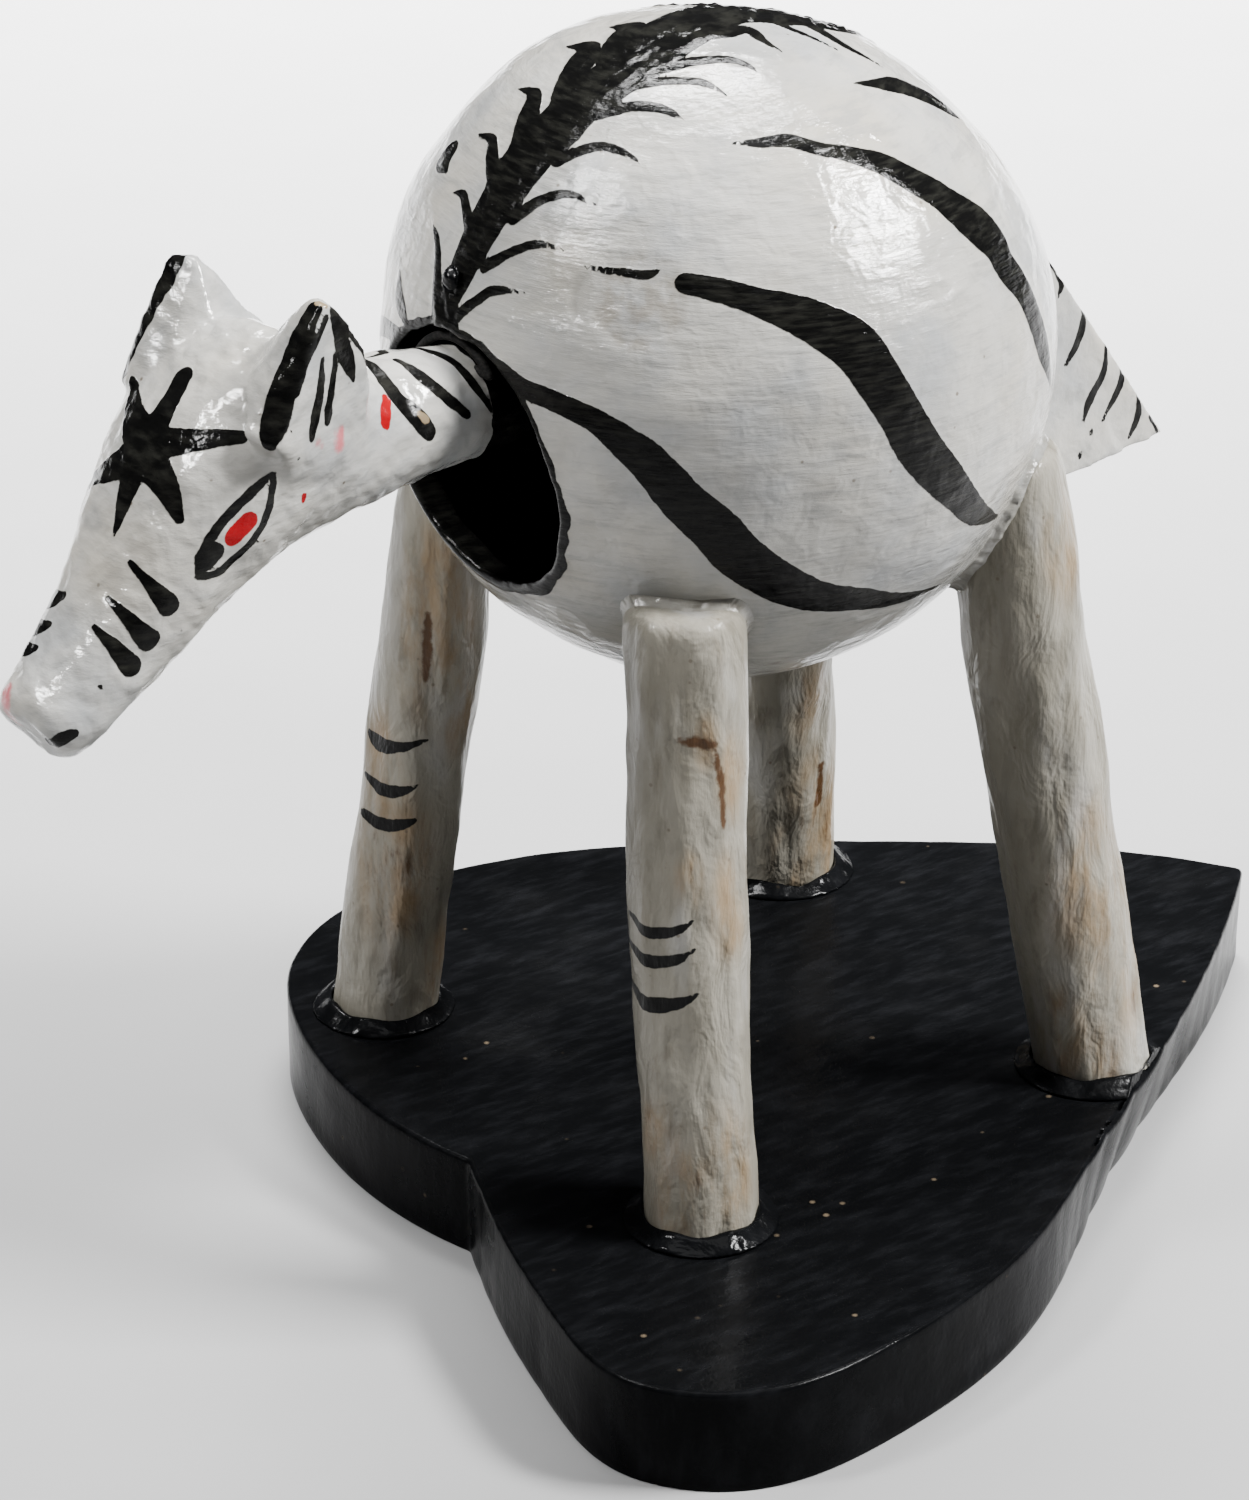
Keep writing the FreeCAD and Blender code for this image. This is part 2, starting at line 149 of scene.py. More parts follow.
def paint_gap(points, strokes, surface=None):
    """Distance in mm from each point to the edge of the nearest brush stroke, negative under the paint.
    A stroke is rows of x, y, z and half width. With a surface, its line is first laid on that."""
    best = np.full(len(points), OUT_OF_REACH)
    for stroke in strokes:
        path = curve_through(stroke, 0.7)
        path[:, 3] = np.maximum(path[:, 3], 0.05)
        if surface is not None:
            path[:, :3] = [surface.find_nearest(Vector(place))[0] for place in path[:, :3]]
        reach = path[:, 3].max() + OUT_OF_REACH
        near = np.flatnonzero(((points > path[:, :3].min(0) - reach)
                               & (points < path[:, :3].max(0) + reach)).all(1))
        close = points[near]
        for a, b in zip(path[:-1], path[1:]):
            run = b[:3] - a[:3]
            t = np.clip((close - a[:3]) @ run / max(run @ run, 1e-9), 0, 1)
            gap = np.linalg.norm(close - a[:3] - t[:, None] * run, axis=1) - (a[3] + t * (b[3] - a[3]))
            best[near] = np.minimum(best[near], gap)
    return best


def read_vertices(mesh, word):
    flat = np.zeros(len(mesh.vertices) * 3, np.float32)
    mesh.vertices.foreach_get(word, flat)
    return flat.reshape(-1, 3).astype(float)


def get_points(mesh):
    return read_vertices(mesh, "co")


def get_normals(mesh):
    return read_vertices(mesh, "normal")


def set_points(mesh, points):
    mesh.vertices.foreach_set("co", np.asarray(points, np.float32).ravel())
    mesh.update()


def roughen(mesh, sink, *waves):
    """Sink a mesh by some mm and give it waves, each of depth, length and seed."""
    points = get_points(mesh)
    rise = sum(depth * ripple(points, length, seed) for depth, length, seed in waves) - sink
    set_points(mesh, points + get_normals(mesh) * rise[:, None])


def surface_of(mesh):
    made = bmesh.new()
    made.from_mesh(mesh)
    tree = BVHTree.FromBMesh(made)
    made.free()
    return tree


def ring_faces(index):
    """Four-cornered faces between rings of point numbers."""
    after = np.roll(index, -1, 1)
    return np.stack((index[:-1], after[:-1], after[1:], index[1:]), -1).reshape(-1, 4).tolist()


def pole_faces(pole, ring, turned_over=False):
    """Three-cornered faces between one ring of point numbers and a point in its middle."""
    pairs = zip(ring, np.roll(ring, -1))
    return [(pole, b, a) if turned_over else (pole, a, b) for a, b in pairs]


def mesh_from(name, points, faces):
    mesh = bpy.data.meshes.new(name)
    mesh.from_pydata(np.asarray(points, float).tolist(), [], faces)
    made = bmesh.new()
    made.from_mesh(mesh)
    bmesh.ops.recalc_face_normals(made, faces=made.faces)
    made.to_mesh(mesh)
    made.free()
    return mesh


def mesh_of(made, name):
    mesh = bpy.data.meshes.new(name)
    made.to_mesh(mesh)
    made.free()
    return mesh


def cad_mesh(node):
    """A CAD node's mesh as a new mesh in mm, with its doubled corner points joined."""
    made = bmesh.new()
    made.from_mesh(nodes[node].data)
    bmesh.ops.scale(made, vec=(1 / MM,) * 3, verts=made.verts)
    bmesh.ops.remove_doubles(made, verts=made.verts, dist=0.0005)
    return mesh_of(made, node + "_copy")


def hull_mesh(name, corners):
    made = bmesh.new()
    for corner in corners:
        made.verts.new(corner)
    bmesh.ops.convex_hull(made, input=made.verts)
    return mesh_of(made, name)


def even_mesh(name, parts, cell, softening):
    """One closed mesh round all the parts, with even faces of about cell mm and softened edges."""
    made = bmesh.new()
    for part in parts:
        made.from_mesh(part)
    carrier = bpy.data.objects.new(name + "_carrier", mesh_of(made, name))
    scene.collection.objects.link(carrier)
    grid = carrier.modifiers.new("grid", "REMESH")
    grid.mode = "VOXEL"
    grid.voxel_size = cell
    soft = carrier.modifiers.new("soft", "SMOOTH")
    soft.factor = 0.5
    soft.iterations = softening
    view = bpy.context.evaluated_depsgraph_get()
    result = bpy.data.meshes.new_from_object(carrier.evaluated_get(view))
    bpy.data.objects.remove(carrier)
    result.name = name
    return result


def soften(mesh, share, rounds):
    """Smooth a mesh where share is above 0."""
    points = get_points(mesh)
    ends = np.zeros(len(mesh.edges) * 2, np.int64)
    mesh.edges.foreach_get("vertices", ends)
    a, b = ends.reshape(-1, 2).T
    size = len(points)
    count = np.bincount(ends, minlength=size)[:, None]
    for _ in range(rounds):
        near = np.stack([np.bincount(a, points[b, axis], size) + np.bincount(b, points[a, axis], size)
                         for axis in range(3)], 1)
        points += (near / count - points) * share[:, None] * 0.5
    set_points(mesh, points)


def piece(name, mesh, material, body, replaced, slot, **attributes):
    """Finish a mesh in mm as a named object in metres that rides on a body and stands for CAD nodes."""
    set_points(mesh, get_points(mesh) * MM)
    mesh.shade_smooth()
    for word, values in attributes.items():
        mesh.attributes.new(word, "FLOAT", "POINT").data.foreach_set("value", np.asarray(values, np.float32))
    item = bpy.data.objects.new(name, mesh)
    scene.collection.objects.link(item)
    mesh.materials.clear()
    mesh.materials.append(material)
    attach(item, body)
    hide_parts(*replaced)
    return item


# ------------------------------------ material helper
class Finish:
    """A material whose colour, gloss and relief come from nodes. Sizes are in mm on the object."""

    def __init__(self, name):
        self.material = bpy.data.materials.new(name)
        self.material.use_nodes = True
        self.tree = self.material.node_tree
        self.shader = self.tree.nodes["Principled BSDF"]
        self.place = self.tree.nodes.new("ShaderNodeTexCoord").outputs["Object"]

    def feed(self, socket, value):
        if isinstance(value, bpy.types.NodeSocket):
            self.tree.links.new(value, socket)
        elif isinstance(value, tuple) and len(value) == 3 and socket.type == "RGBA":
            socket.default_value = (*value, 1)
        else:
            socket.default_value = value

    def set(self, **sockets):
        for word, value in sockets.items():
            self.feed(self.shader.inputs[word.replace("_", " ")], value)

    def node(self, kind, inputs, **settings):
        made = self.tree.nodes.new(kind)
        for word, value in settings.items():
            setattr(made, word, value)
        for key, value in inputs.items():
            self.feed(made.inputs[key], value)
        return made

    def moved(self, size, stretch, shift):
        scale = tuple(1 / (size * MM * part) for part in stretch)
        return self.node("ShaderNodeMapping", {"Vector": self.place, "Scale": scale,
                                               "Location": (shift, shift * 0.7, -shift)}).outputs[0]

    def noise(self, size, stretch=(1, 1, 1), shift=0.0, detail=3.0, roughness=0.55, warp=0.0):
        return self.node("ShaderNodeTexNoise", {"Vector": self.moved(size, stretch, shift), "Scale": 1.0,
                                                "Detail": detail, "Roughness": roughness,
                                                "Distortion": warp}).outputs[0]

    def specks(self, size, shift=0.0):
        return self.node("ShaderNodeTexVoronoi", {"Vector": self.moved(size, (1, 1, 1), shift), "Scale": 1.0,
                                                  "Randomness": 1.0}).outputs["Distance"]

    def values(self, word):
        return self.node("ShaderNodeAttribute", {}, attribute_name=word).outputs["Fac"]

    def maths(self, kind, a, b=0.0):
        return self.node("ShaderNodeMath", {0: a, 1: b}, operation=kind).outputs[0]

    def times(self, a, b):
        return self.maths("MULTIPLY", a, b)

    def band(self, value, low, high, start=0.0, end=1.0):
        """start where the value is low, end where it is high, smooth between."""
        return self.node("ShaderNodeMapRange", {0: value, 1: low, 2: high, 3: start, 4: end},
                         interpolation_type="SMOOTHSTEP").outputs[0]

    def mix(self, share, a, b):
        return self.node("ShaderNodeMix", {0: share, 6: a, 7: b}, data_type="RGBA").outputs[2]

    def bump(self, height, depth, under=None):
        inputs = {"Height": height, "Distance": depth * MM, "Strength": 1.0}
        if under is not None:
            inputs["Normal"] = under
        return self.node("ShaderNodeBump", inputs).outputs[0]


INK = (0.0025, 0.0025, 0.0024)
INK_THIN = (0.010, 0.010, 0.0085)
WHITE = (0.325, 0.317, 0.292)
WHITE_COOL = (0.24, 0.247, 0.25)
WHITE_WARM = (0.31, 0.285, 0.235)
DIRT = (0.085, 0.064, 0.044)
RED = (0.19, 0.001, 0.004)
PINK = (0.34, 0.10, 0.11)
BROWN = (0.05, 0.024, 0.009)
OCHRE = (0.16, 0.095, 0.036)


def white_ground(f, brush=(1, 1, 0.14), shift=0.0):
    """The hand-brushed white: cool and warm patches, brush streaks and specks of dirt."""
    cloud = f.noise(17, shift=shift, detail=5, roughness=0.62)
    streak = f.noise(9, stretch=brush, shift=shift + 3, detail=6, roughness=0.68)
    colour = f.mix(f.band(cloud, 0.42, 0.66, 0, 0.85), WHITE, WHITE_COOL)
    colour = f.mix(f.band(f.noise(23, shift=shift + 8), 0.46, 0.72, 0, 0.7), colour, WHITE_WARM)
    colour = f.mix(f.band(streak, 0.47, 0.68, 0, 0.62), colour, (0.20, 0.20, 0.19))
    spots = f.band(f.specks(4.2, shift=shift + 1), 0.03, 0.075, 1, 0)
    some = f.band(f.noise(11, shift=shift + 5), 0.42, 0.52)
    colour = f.mix(f.times(spots, f.times(some, 0.8)), colour, DIRT)
    return colour, streak


def inked(f, colour, word, ragged=0.2, tone=INK, soft=0.07):
    """Lay hand-painted strokes over a colour. Returns the new colour and how much paint there is."""
    edge = f.times(f.maths("SUBTRACT", f.noise(1.4, detail=3), 0.5), ragged * 2)
    gap = f.maths("ADD", f.values(word), edge)
    cover = f.band(gap, -soft, soft, 1, 0)
    return f.mix(cover, colour, tone), cover


def zebra_finish(name, brush=(1, 1, 0.14), shift=0.0, scar=False, red=False, darkening=0.0):
    """Varnished white paint with black brush work."""
    f = Finish(name)
    colour, streak = white_ground(f, brush, shift)
    # Darker grey-brown patches over the whole surface; only the putty, where the legs and the tail meet the
    # gourd, gets them.
    if darkening:
        darker_patches = f.band(f.noise(3.0, shift=shift + 9, detail=5, roughness=0.6), 0.35, 0.6, 0.4 * darkening, darkening)
        colour = f.mix(darker_patches, colour, (0.125, 0.118, 0.098))
    if scar:
        worn = f.times(f.values("scar"), f.band(f.noise(2.2, detail=5), 0.35, 0.62))
        colour = f.mix(f.times(worn, 0.55), colour, (0.19, 0.165, 0.13))
    if red:
        colour, _ = inked(f, colour, "pink", 1.0, PINK, 0.5)
        colour, red_cover = inked(f, colour, "red", 0.25, RED, 0.08)
    black = f.mix(f.band(f.noise(3.5, stretch=brush, shift=shift + 2, detail=5), 0.4, 0.75), INK, INK_THIN)
    colour, cover = inked(f, colour, "ink", tone=black)
    if red:
        colour, _ = inked(f, colour, "bare", 0.3, (0.17, 0.13, 0.08), 0.1)
    waves = f.noise(3.4, shift=shift + 4, detail=2, roughness=0.45, warp=0.35)
    relief = f.bump(waves, 0.37)
    relief = f.bump(streak, 0.20, relief)
    relief = f.bump(f.noise(0.55, shift=shift, detail=2), 0.02, relief)
    relief = f.bump(cover, 0.04, relief)
    dark = f.maths("MAXIMUM", cover, red_cover) if red else cover
    f.set(Base_Color=colour, Roughness=0.30, Normal=relief, Specular_IOR_Level=0.0, Coat_Weight=1.0,
          Coat_Roughness=0.05, Coat_Normal=relief, Coat_IOR=f.band(dark, 0, 1, 1.5, 1.2))
    return f.material


def black_finish(name, dust=0.5, grain=(1, 1, 1), waviness=0.5, shine=0.12):
    """Thick gloss black with fine brush lines and pale dust."""
    f = Finish(name)
    streak = f.noise(7, stretch=grain, detail=5, roughness=0.65)
    colour = f.mix(f.band(streak, 0.4, 0.8), (0.0016, 0.0017, 0.0019), (0.0042, 0.0044, 0.005))
    spots = f.band(f.specks(5.5, shift=2), 0.03, 0.09, 1, 0)
    some = f.band(f.noise(15, shift=6), 0.47, 0.6)
    colour = f.mix(f.times(spots, f.times(some, dust)), colour, (0.15, 0.115, 0.075))
    f.set(Base_Color=colour)
    relief = f.bump(f.noise(5.5, shift=1, detail=3, warp=0.4), waviness)
    relief = f.bump(streak, 0.4 * waviness, relief)
    relief = f.bump(f.noise(0.7, detail=2), 0.04, relief)
    f.set(Roughness=f.band(f.noise(12, detail=4), 0.35, 0.75, 0.14, 0.32), Normal=relief,
          Specular_IOR_Level=shine)
    return f.material


# ------------------------------------ gourd
SKIN = 39.75                # the painted surface, with room for its unevenness under the CAD sphere
LARGEST = 39.98             # no painted bump goes above this, but where the gourd itself is fuller
INNER = 36.6                # the hollow
OPENING = {"radius": 16.0, "side": 1.0, "drop": 7.0, "tilt": 10.0}


def spot(longitude, latitude):
    """Unit vector from the middle of the gourd; longitude 0 is the front and 90 the animal's left."""
    turn, rise = math.radians(longitude), math.radians(latitude)
    return np.array((math.cos(rise) * math.sin(turn), -math.cos(rise) * math.cos(turn), math.sin(rise)))


def on_gourd(stroke):
    return [(*(CENTRE + spot(longitude, latitude) * SKIN), half) for longitude, latitude, half in stroke]


# Brush strokes on the gourd: longitude, latitude and half width in mm along each.
MANE = (
    ((178, 52, 0.3), (176, 62, 2.2), (170, 74, 3.8), (-150, 88, 4.6), (7, 83, 4.9), (12, 74, 4.5),
     (11, 65, 4.1), (8, 58, 3.7), (6, 51, 3.9), (4, 45, 3.8), (3, 39, 3.6), (2, 34, 3.2), (1, 28, 2.7),
     (0, 22, 2.2), (-1, 17, 2), (-1, 14, 2.2)),
    ((150, 82, 1.6), (138, 80, 0.8), (130, 76, 0.6), (128, 69, 0.2)),
    ((39, 80, 1.4), (61, 81, 1.2), (87, 82, 1.1), (88, 77, 0.6), (92, 73, 0.1)),
    ((27, 69, 1.2), (45, 72, 0.8), (61, 72, 0.6), (73, 68, 0.1)),
    ((22, 64, 1.1), (36, 66, 0.7), (47, 66, 0.6), (56, 63, 0.1)),
    ((16, 56, 1), (27, 59, 0.8), (36, 59, 0.6), (43, 57, 0.1)),
    ((13, 46, 0.9), (21, 50, 0.7), (28, 50, 0.5), (35, 48, 0.1)),
    ((9, 35, 0.9), (14, 39, 0.7), (20, 41, 0.5), (27, 40, 0.1)),
    ((6, 26, 0.8), (12, 30, 0.6), (17, 32, 0.5), (23, 32, 0.1)),
    ((3, 17, 0.8), (6, 20, 0.7), (10, 23, 0.6), (17, 24, 0.1)),
    ((0, 68, 2.2), (-14, 73, 2.1), (-26, 75, 1.7), (-36, 72, 0.3)),
    ((-1, 58, 2), (-11, 64, 1.9), (-19, 67, 1.4), (-29, 64, 0.2)),
    ((-1, 47, 1.8), (-7, 52, 1.5), (-12, 55, 0.9), (-20, 54, 0.2)),
    ((-1, 39, 1.3), (-8, 43, 1), (-12, 45, 0.7), (-18, 44, 0.2)),
    ((0, 30, 1.1), (-6, 33, 0.8), (-10, 35, 0.6), (-14, 34, 0.1)),
    ((-3, 16, 1.3), (-7, 22, 0.9), (-11, 26, 0.6), (-16, 28, 0.1)),
    ((150, 74, 1.2), (138, 68, 0.8), (136, 61, 0.2)),
    ((-160, 74, 1.4), (-146, 68, 0.9), (-140, 61, 0.2)),
    ((-120, 80, 1.4), (-96, 76, 1.1), (-82, 70, 0.2)),
)
LEFT_STRIPES = (
    ((110, 62, 0.2), (119, 60, 0.9), (130, 57, 1.7), (135, 53, 1.9), (139, 49, 1.7), (141, 45, 0.4)),
    ((55, 53, 0.1), (64, 53, 0.7), (72, 53, 1), (79, 51, 1), (87, 49, 1.2), (94, 46, 1.7), (98, 43, 1.9),
     (103, 39, 2.1), (107, 35, 2.4), (111, 31, 2.9), (114, 27, 2.7), (115, 23, 2.2), (118, 18, 2),
     (121, 11, 1.9), (124, 5, 1.6), (128, -2, 0.4)),
    ((47, 29, 1.2), (53, 28, 1.4), (60, 26, 1.6), (68, 23, 2.3), (76, 18, 2.9), (80, 12, 2.8), (83, 7, 2.7),
     (87, 0, 2.8), (92, -6, 2.6), (98, -12, 2.1), (105, -18, 1.6), (116, -23, 0.3)),
    ((9, 12, 0.8), (15, 11, 1), (20, 9, 1.1), (26, 8, 1.2), (33, 6, 1.4), (38, 3, 2), (42, 0, 2.4),
     (48, -7, 2.8), (53, -12, 3), (57, -17, 3), (64, -23, 2.8), (72, -28, 2.4), (82, -31, 1.9),
     (93, -34, 1.1), (106, -34, 0.2)),
    ((28, 30, 0.25), (32, 30, 0.4), (36, 30, 0.5), (40, 30, 0.55), (42, 31, 0.2)),
)
SMEARS = (
    ((-17, 8, 0.3), (-9, 11, 0.7), (-3, 13.5, 1), (3, 15, 0.8)),
    ((-28, 38, 0.2), (-25, 39, 1.2), (-26, 37, 1.7), (-21, 36, 0.3)),
    ((-23, 17, 0.3), (-20, 14, 1.2), (-15, 12, 0.9), (-12, 11, 0.2)),
)


def on_right_side(stroke, turn, rise, width):
    return tuple((-longitude + turn, latitude + rise, half * width) for longitude, latitude, half in stroke)


RIGHT_STRIPES = (
    on_right_side(LEFT_STRIPES[0], 2, 1, 1.1),
    on_right_side(LEFT_STRIPES[1], -3, -2, 0.95),
    on_right_side(LEFT_STRIPES[2], 3, 2, 0.9),
    on_right_side(LEFT_STRIPES[3][1:], 4, -1, 0.9),
)


def opening_line(radius_of_surface, turns, hole):
    """Where the cylinder of the neck opening meets a sphere, seen from the gourd's middle."""
    tilt = math.radians(OPENING["tilt"])
    out = np.array((0, -math.cos(tilt), -math.sin(tilt)))
    across = np.array((1.0, 0, 0))
    up = np.array((0, -math.sin(tilt), math.cos(tilt)))
    start = np.array((OPENING["side"], -40.0, -OPENING["drop"]))
    ring = start + hole[:, None] * (np.cos(turns)[:, None] * across + np.sin(turns)[:, None] * up)
    along = ring @ out
    return ring + (np.sqrt(along**2 - (ring**2).sum(1) + radius_of_surface**2) - along)[:, None] * out


def arcs(edge, pole, shares):
    """Rings of unit vectors that run from an edge line on a sphere to the pole."""
    start = edge / np.linalg.norm(edge, axis=1)[:, None]
    angle = np.arccos(start @ pole)[None, :, None]
    share = shares[:, None, None]
    return (np.sin((1 - share) * angle) * start[None] + np.sin(share * angle) * pole) / np.sin(angle)


def gourd_mesh():
    columns = 400
    turns = np.linspace(0, 2 * math.pi, columns, endpoint=False)
    circle = np.stack((np.cos(turns), np.sin(turns), 0 * turns), 1) * OPENING["radius"]
    hole = OPENING["radius"] + 0.12 * ripple(circle, 9, 3) + 0.05 * ripple(circle, 2.5, 4)
    edge = opening_line(SKIN, turns, hole)
    pole = -edge.mean(0) / np.linalg.norm(edge.mean(0))
    length = SKIN * math.radians(156)
    gaps = np.concatenate(((0, 0.12, 0.28, 0.5, 0.8, 1.2), np.linspace(1.75, length, 178)[:-1]))
    outside = arcs(edge, pole, gaps / length)
    gap = np.broadcast_to(gaps[:, None], outside.shape[:2]).ravel()
    sphere = outside.reshape(-1, 3) * SKIN
    place = sphere + CENTRE

    mane = paint_gap(place, [on_gourd(stroke) for stroke in MANE])
    other = paint_gap(place, [on_gourd(stroke) for stroke in LEFT_STRIPES + RIGHT_STRIPES + SMEARS])
    around = np.tile(circle, (len(gaps), 1))
    low_left = step(around @ (0.5, -0.85, 0), 0, 16)
    rim = gap - (0.9 + 0.22 * np.abs(ripple(around, 6, 8)) + 0.06 * ripple(around, 2.2, 9) + 0.5 * low_left)
    ink = np.minimum(np.minimum(mane, other), rim)

    swell = 0.17 * ripple(sphere, 30, 1) + 0.06 * ripple(sphere, 10, 2)
    flat = 0.35 * step(sphere / SKIN @ spot(-33, 22), 0.80, 1.0)
    scar_middle = spot(39, 25.5) * SKIN
    scar = step(-np.linalg.norm(sphere - scar_middle, axis=1), -6.2, -4.4)
    groove = paint_gap(place, [on_gourd(((27.5, 27, 0.3), (27.5, 24, 0.5), (28, 22, 0.2)))])
    full = step(sphere / SKIN @ spot(-56, 38), 0.78, 1.0)
    low_crown = step(sphere / SKIN @ spot(176, 60), 0.55, 1.0)
    radius = SKIN + np.clip(swell, -0.5, 0.2) - flat + 0.9 * full - 0.95 * low_crown
    radius -= 0.16 * scar + 0.35 * step(-groove, -0.9, 0.3)
    raised = 0.16 * step(-mane, -0.1, 1.2) * (1 + 0.5 * ripple(sphere, 1.6, 5))
    radius += 0.05 * step(-ink, -0.2, 0.4) + raised
    rounding = 0.8
    inside_edge = np.clip(rounding - gap, 0, rounding)
    radius -= rounding - np.sqrt(rounding**2 - inside_edge**2)
    radius = np.minimum(radius, LARGEST + 0.7 * full)
    outer = CENTRE + sphere / SKIN * radius[:, None]

    walls = [CENTRE + opening_line(size, turns, hole) for size in (38.6, 38.1, 37.6, 37.15)]
    inner_edge = opening_line(INNER + 0.25, turns, hole + 0.1)
    inner_shares = np.linspace(0, 1, 60)[:-1]
    inner = arcs(inner_edge, pole, inner_shares).reshape(-1, 3)
    inner = CENTRE + inner * (INNER + 0.12 * ripple(inner * INNER, 6, 6))[:, None]

    rings = [inner.reshape(-1, columns, 3)[::-1].reshape(-1, 3)] + walls[::-1] + [outer]
    points = np.vstack(rings + [CENTRE + pole * INNER, CENTRE + pole * SKIN])
    count = (len(points) - 2) // columns
    index = np.arange(count * columns).reshape(count, columns)
    fans = pole_faces(len(points) - 2, index[0], True) + pole_faces(len(points) - 1, index[-1])
    mesh = mesh_from("gourd", points, ring_faces(index) + fans)
    hidden = len(points) - 2 - len(outer)
    black = np.full(hidden, -OUT_OF_REACH)
    clear = np.zeros(hidden)
    return (mesh, np.concatenate((black, ink, (-OUT_OF_REACH, OUT_OF_REACH))),
            np.concatenate((clear, scar, (0, 0))))


gourd, gourd_ink, gourd_scar = gourd_mesh()
gourd_surface = surface_of(gourd)
piece("gourd", gourd, zebra_finish("gourd_paint", scar=True), "stand", ["body_shell"], "body_paint",
      ink=gourd_ink, scar=gourd_scar)

# ------------------------------------ head and neck
# Each section of the carving, from the inside of the gourd to the nose: top (forward, up) and bottom
# (forward, up) from the middle of the gourd, half width, how much wider its top is, and squareness.
HEAD_SECTIONS = (
    ((12, 4.7), (12, -4.7), 4.7, 0, 2),
    ((20, 5.3), (20, -5.1), 5.2, 0, 2),
    ((28, 6.2), (28, -5.5), 5.9, 0, 2),
    ((36, 7.1), (36, -6.1), 6.6, 0, 2.05),
    ((40, 7.5), (40, -6.3), 6.9, 0, 2.05),
    ((45, 8.3), (45, -6.7), 7.3, 0, 2.1),
    ((52, 9.2), (51, -7.3), 8.1, 0, 2.15),
    ((58.5, 12.3), (56.5, -8), 9.3, 0.05, 2.2),
    ((64.3, 16.6), (60.8, -9), 10.5, 0.1, 2.25),
    ((69.6, 14.6), (64.8, -10), 11, 0.12, 2.35),
    ((74.4, 10.8), (68.8, -11.6), 10.8, 0.13, 2.4),
    ((78.9, 6), (72.8, -13.8), 10, 0.13, 2.45),
    ((83.4, -0.6), (77.2, -16.8), 8.8, 0.12, 2.45),
    ((87.2, -6.8), (81.4, -19.8), 7.7, 0.08, 2.4),
    ((90.7, -11.6), (85.4, -22.2), 6.9, 0.04, 2.35),
    ((94.4, -15.6), (89.2, -24.5), 6.3, 0, 2.3),
    ((96.9, -18), (92.3, -25.9), 5.7, 0, 2.3),
    ((98, -20), (94.4, -25.6), 4.6, 0, 2.2),
)
# The carving is fuller on its right side: forward place and extra mm.
RIGHT_SWELL = ((58, 0), (64, 1.5), (70, 2.8), (74, 2.8), (77, 2), (81, 1.2), (87, 1.2), (96, 1.1))
PIVOT = CENTRE + (0, -37.0, 5.4)
HEAD_TURN = math.radians(5)


def turned(points):
    """From the head's own straight frame to how it hangs, turned a little to its left."""
    away = np.asarray(points, float) - PIVOT
    c, s = math.cos(HEAD_TURN), math.sin(HEAD_TURN)
    return PIVOT + away @ np.array(((c, s, 0), (-s, c, 0), (0, 0, 1)))


def head_point(x, forward, up):
    return CENTRE + (x, -forward, up)


def head_core():
    rows = curve_through([(*top, *bottom, *rest) for top, bottom, *rest in HEAD_SECTIONS], 0.6)
    columns = 120
    turns = np.linspace(0, 2 * math.pi, columns, endpoint=False)
    points = []
    for row in rows:
        power = np.where(turns < math.pi, 2 / row[6], 1.0)
        c = np.sign(np.cos(turns)) * np.abs(np.cos(turns)) ** power
        s = np.sign(np.sin(turns)) * np.abs(np.sin(turns)) ** power
        high, low = head_point(0, row[0], row[1]), head_point(0, row[2], row[3])
        across = row[4] * c * (1 + row[5] * s)
        across -= np.interp((row[0] + row[2]) / 2, *zip(*RIGHT_SWELL)) * np.maximum(-c, 0)
        points.append((high + low) / 2 + s[:, None] * (high - low) / 2 + across[:, None] * (1.0, 0, 0))
    points = np.vstack(points)
    index = np.arange(len(points)).reshape(-1, columns)
    return mesh_from("head_core", points, ring_faces(index) + [index[0].tolist(), index[-1].tolist()])


# Corner points of each ear: across, forward, up. The right one is blunter and stands out further.
EARS = (
    ((10.2, 64.9, 22.4), (12.9, 65.4, 22), (12.8, 63.9, 22), (10.4, 63.6, 22.2),
     (14.2, 72.6, 8), (10.2, 74.4, 9), (6.5, 70.5, 13.4), (4, 66.4, 16.2), (4.5, 61.5, 13.8),
     (11.8, 60.5, 19), (10.6, 57.9, 15), (9.2, 56.2, 10),
     (12, 68.5, 2.5), (11.2, 63, 2), (9.6, 57, 4.5), (6, 54.5, 8.2)),
    ((-9.4, 65.4, 22), (-12.6, 66.7, 21.6), (-12.8, 64.2, 21.4), (-10.4, 64.2, 21.6),
     (-13.4, 69.3, 16), (-13.7, 71.5, 12.4), (-13.7, 73.4, 8), (-10.2, 74.6, 9), (-6.5, 70.5, 13.2),
     (-5.2, 66.4, 15.4), (-5.5, 61.5, 13), (-10.8, 60.6, 17), (-9, 57.2, 10.4),
     (-12, 68.5, 2.5), (-11.2, 63, 2), (-9.6, 57, 4.5), (-6, 54.5, 8.2)),
)


def head_mesh():
    ears = [hull_mesh("ear", [head_point(*corner) for corner in corners]) for corners in EARS]
    mesh = even_mesh("carved_head", [head_core()] + ears, 0.42, 9)
    points = get_points(mesh)
    side, forward, up = np.abs(points[:, 0]), -points[:, 1], points[:, 2] - CENTRE[2]
    cheek = (step(side, 5, 7) * step(forward, 50, 54) * (1 - step(forward, 76, 80)) * step(up, -7, -3)
             * (1 - step(up, 5, 9)))
    soften(mesh, cheek, 60)
    roughen(mesh, 0.04, (0.10, 7, 11), (0.035, 2.2, 12))
    return mesh


head = head_mesh()
head_points = get_points(head)
head_surface = surface_of(head)


def mirrored(strokes):
    return tuple(tuple((-x, *rest) for x, *rest in stroke) for stroke in strokes)


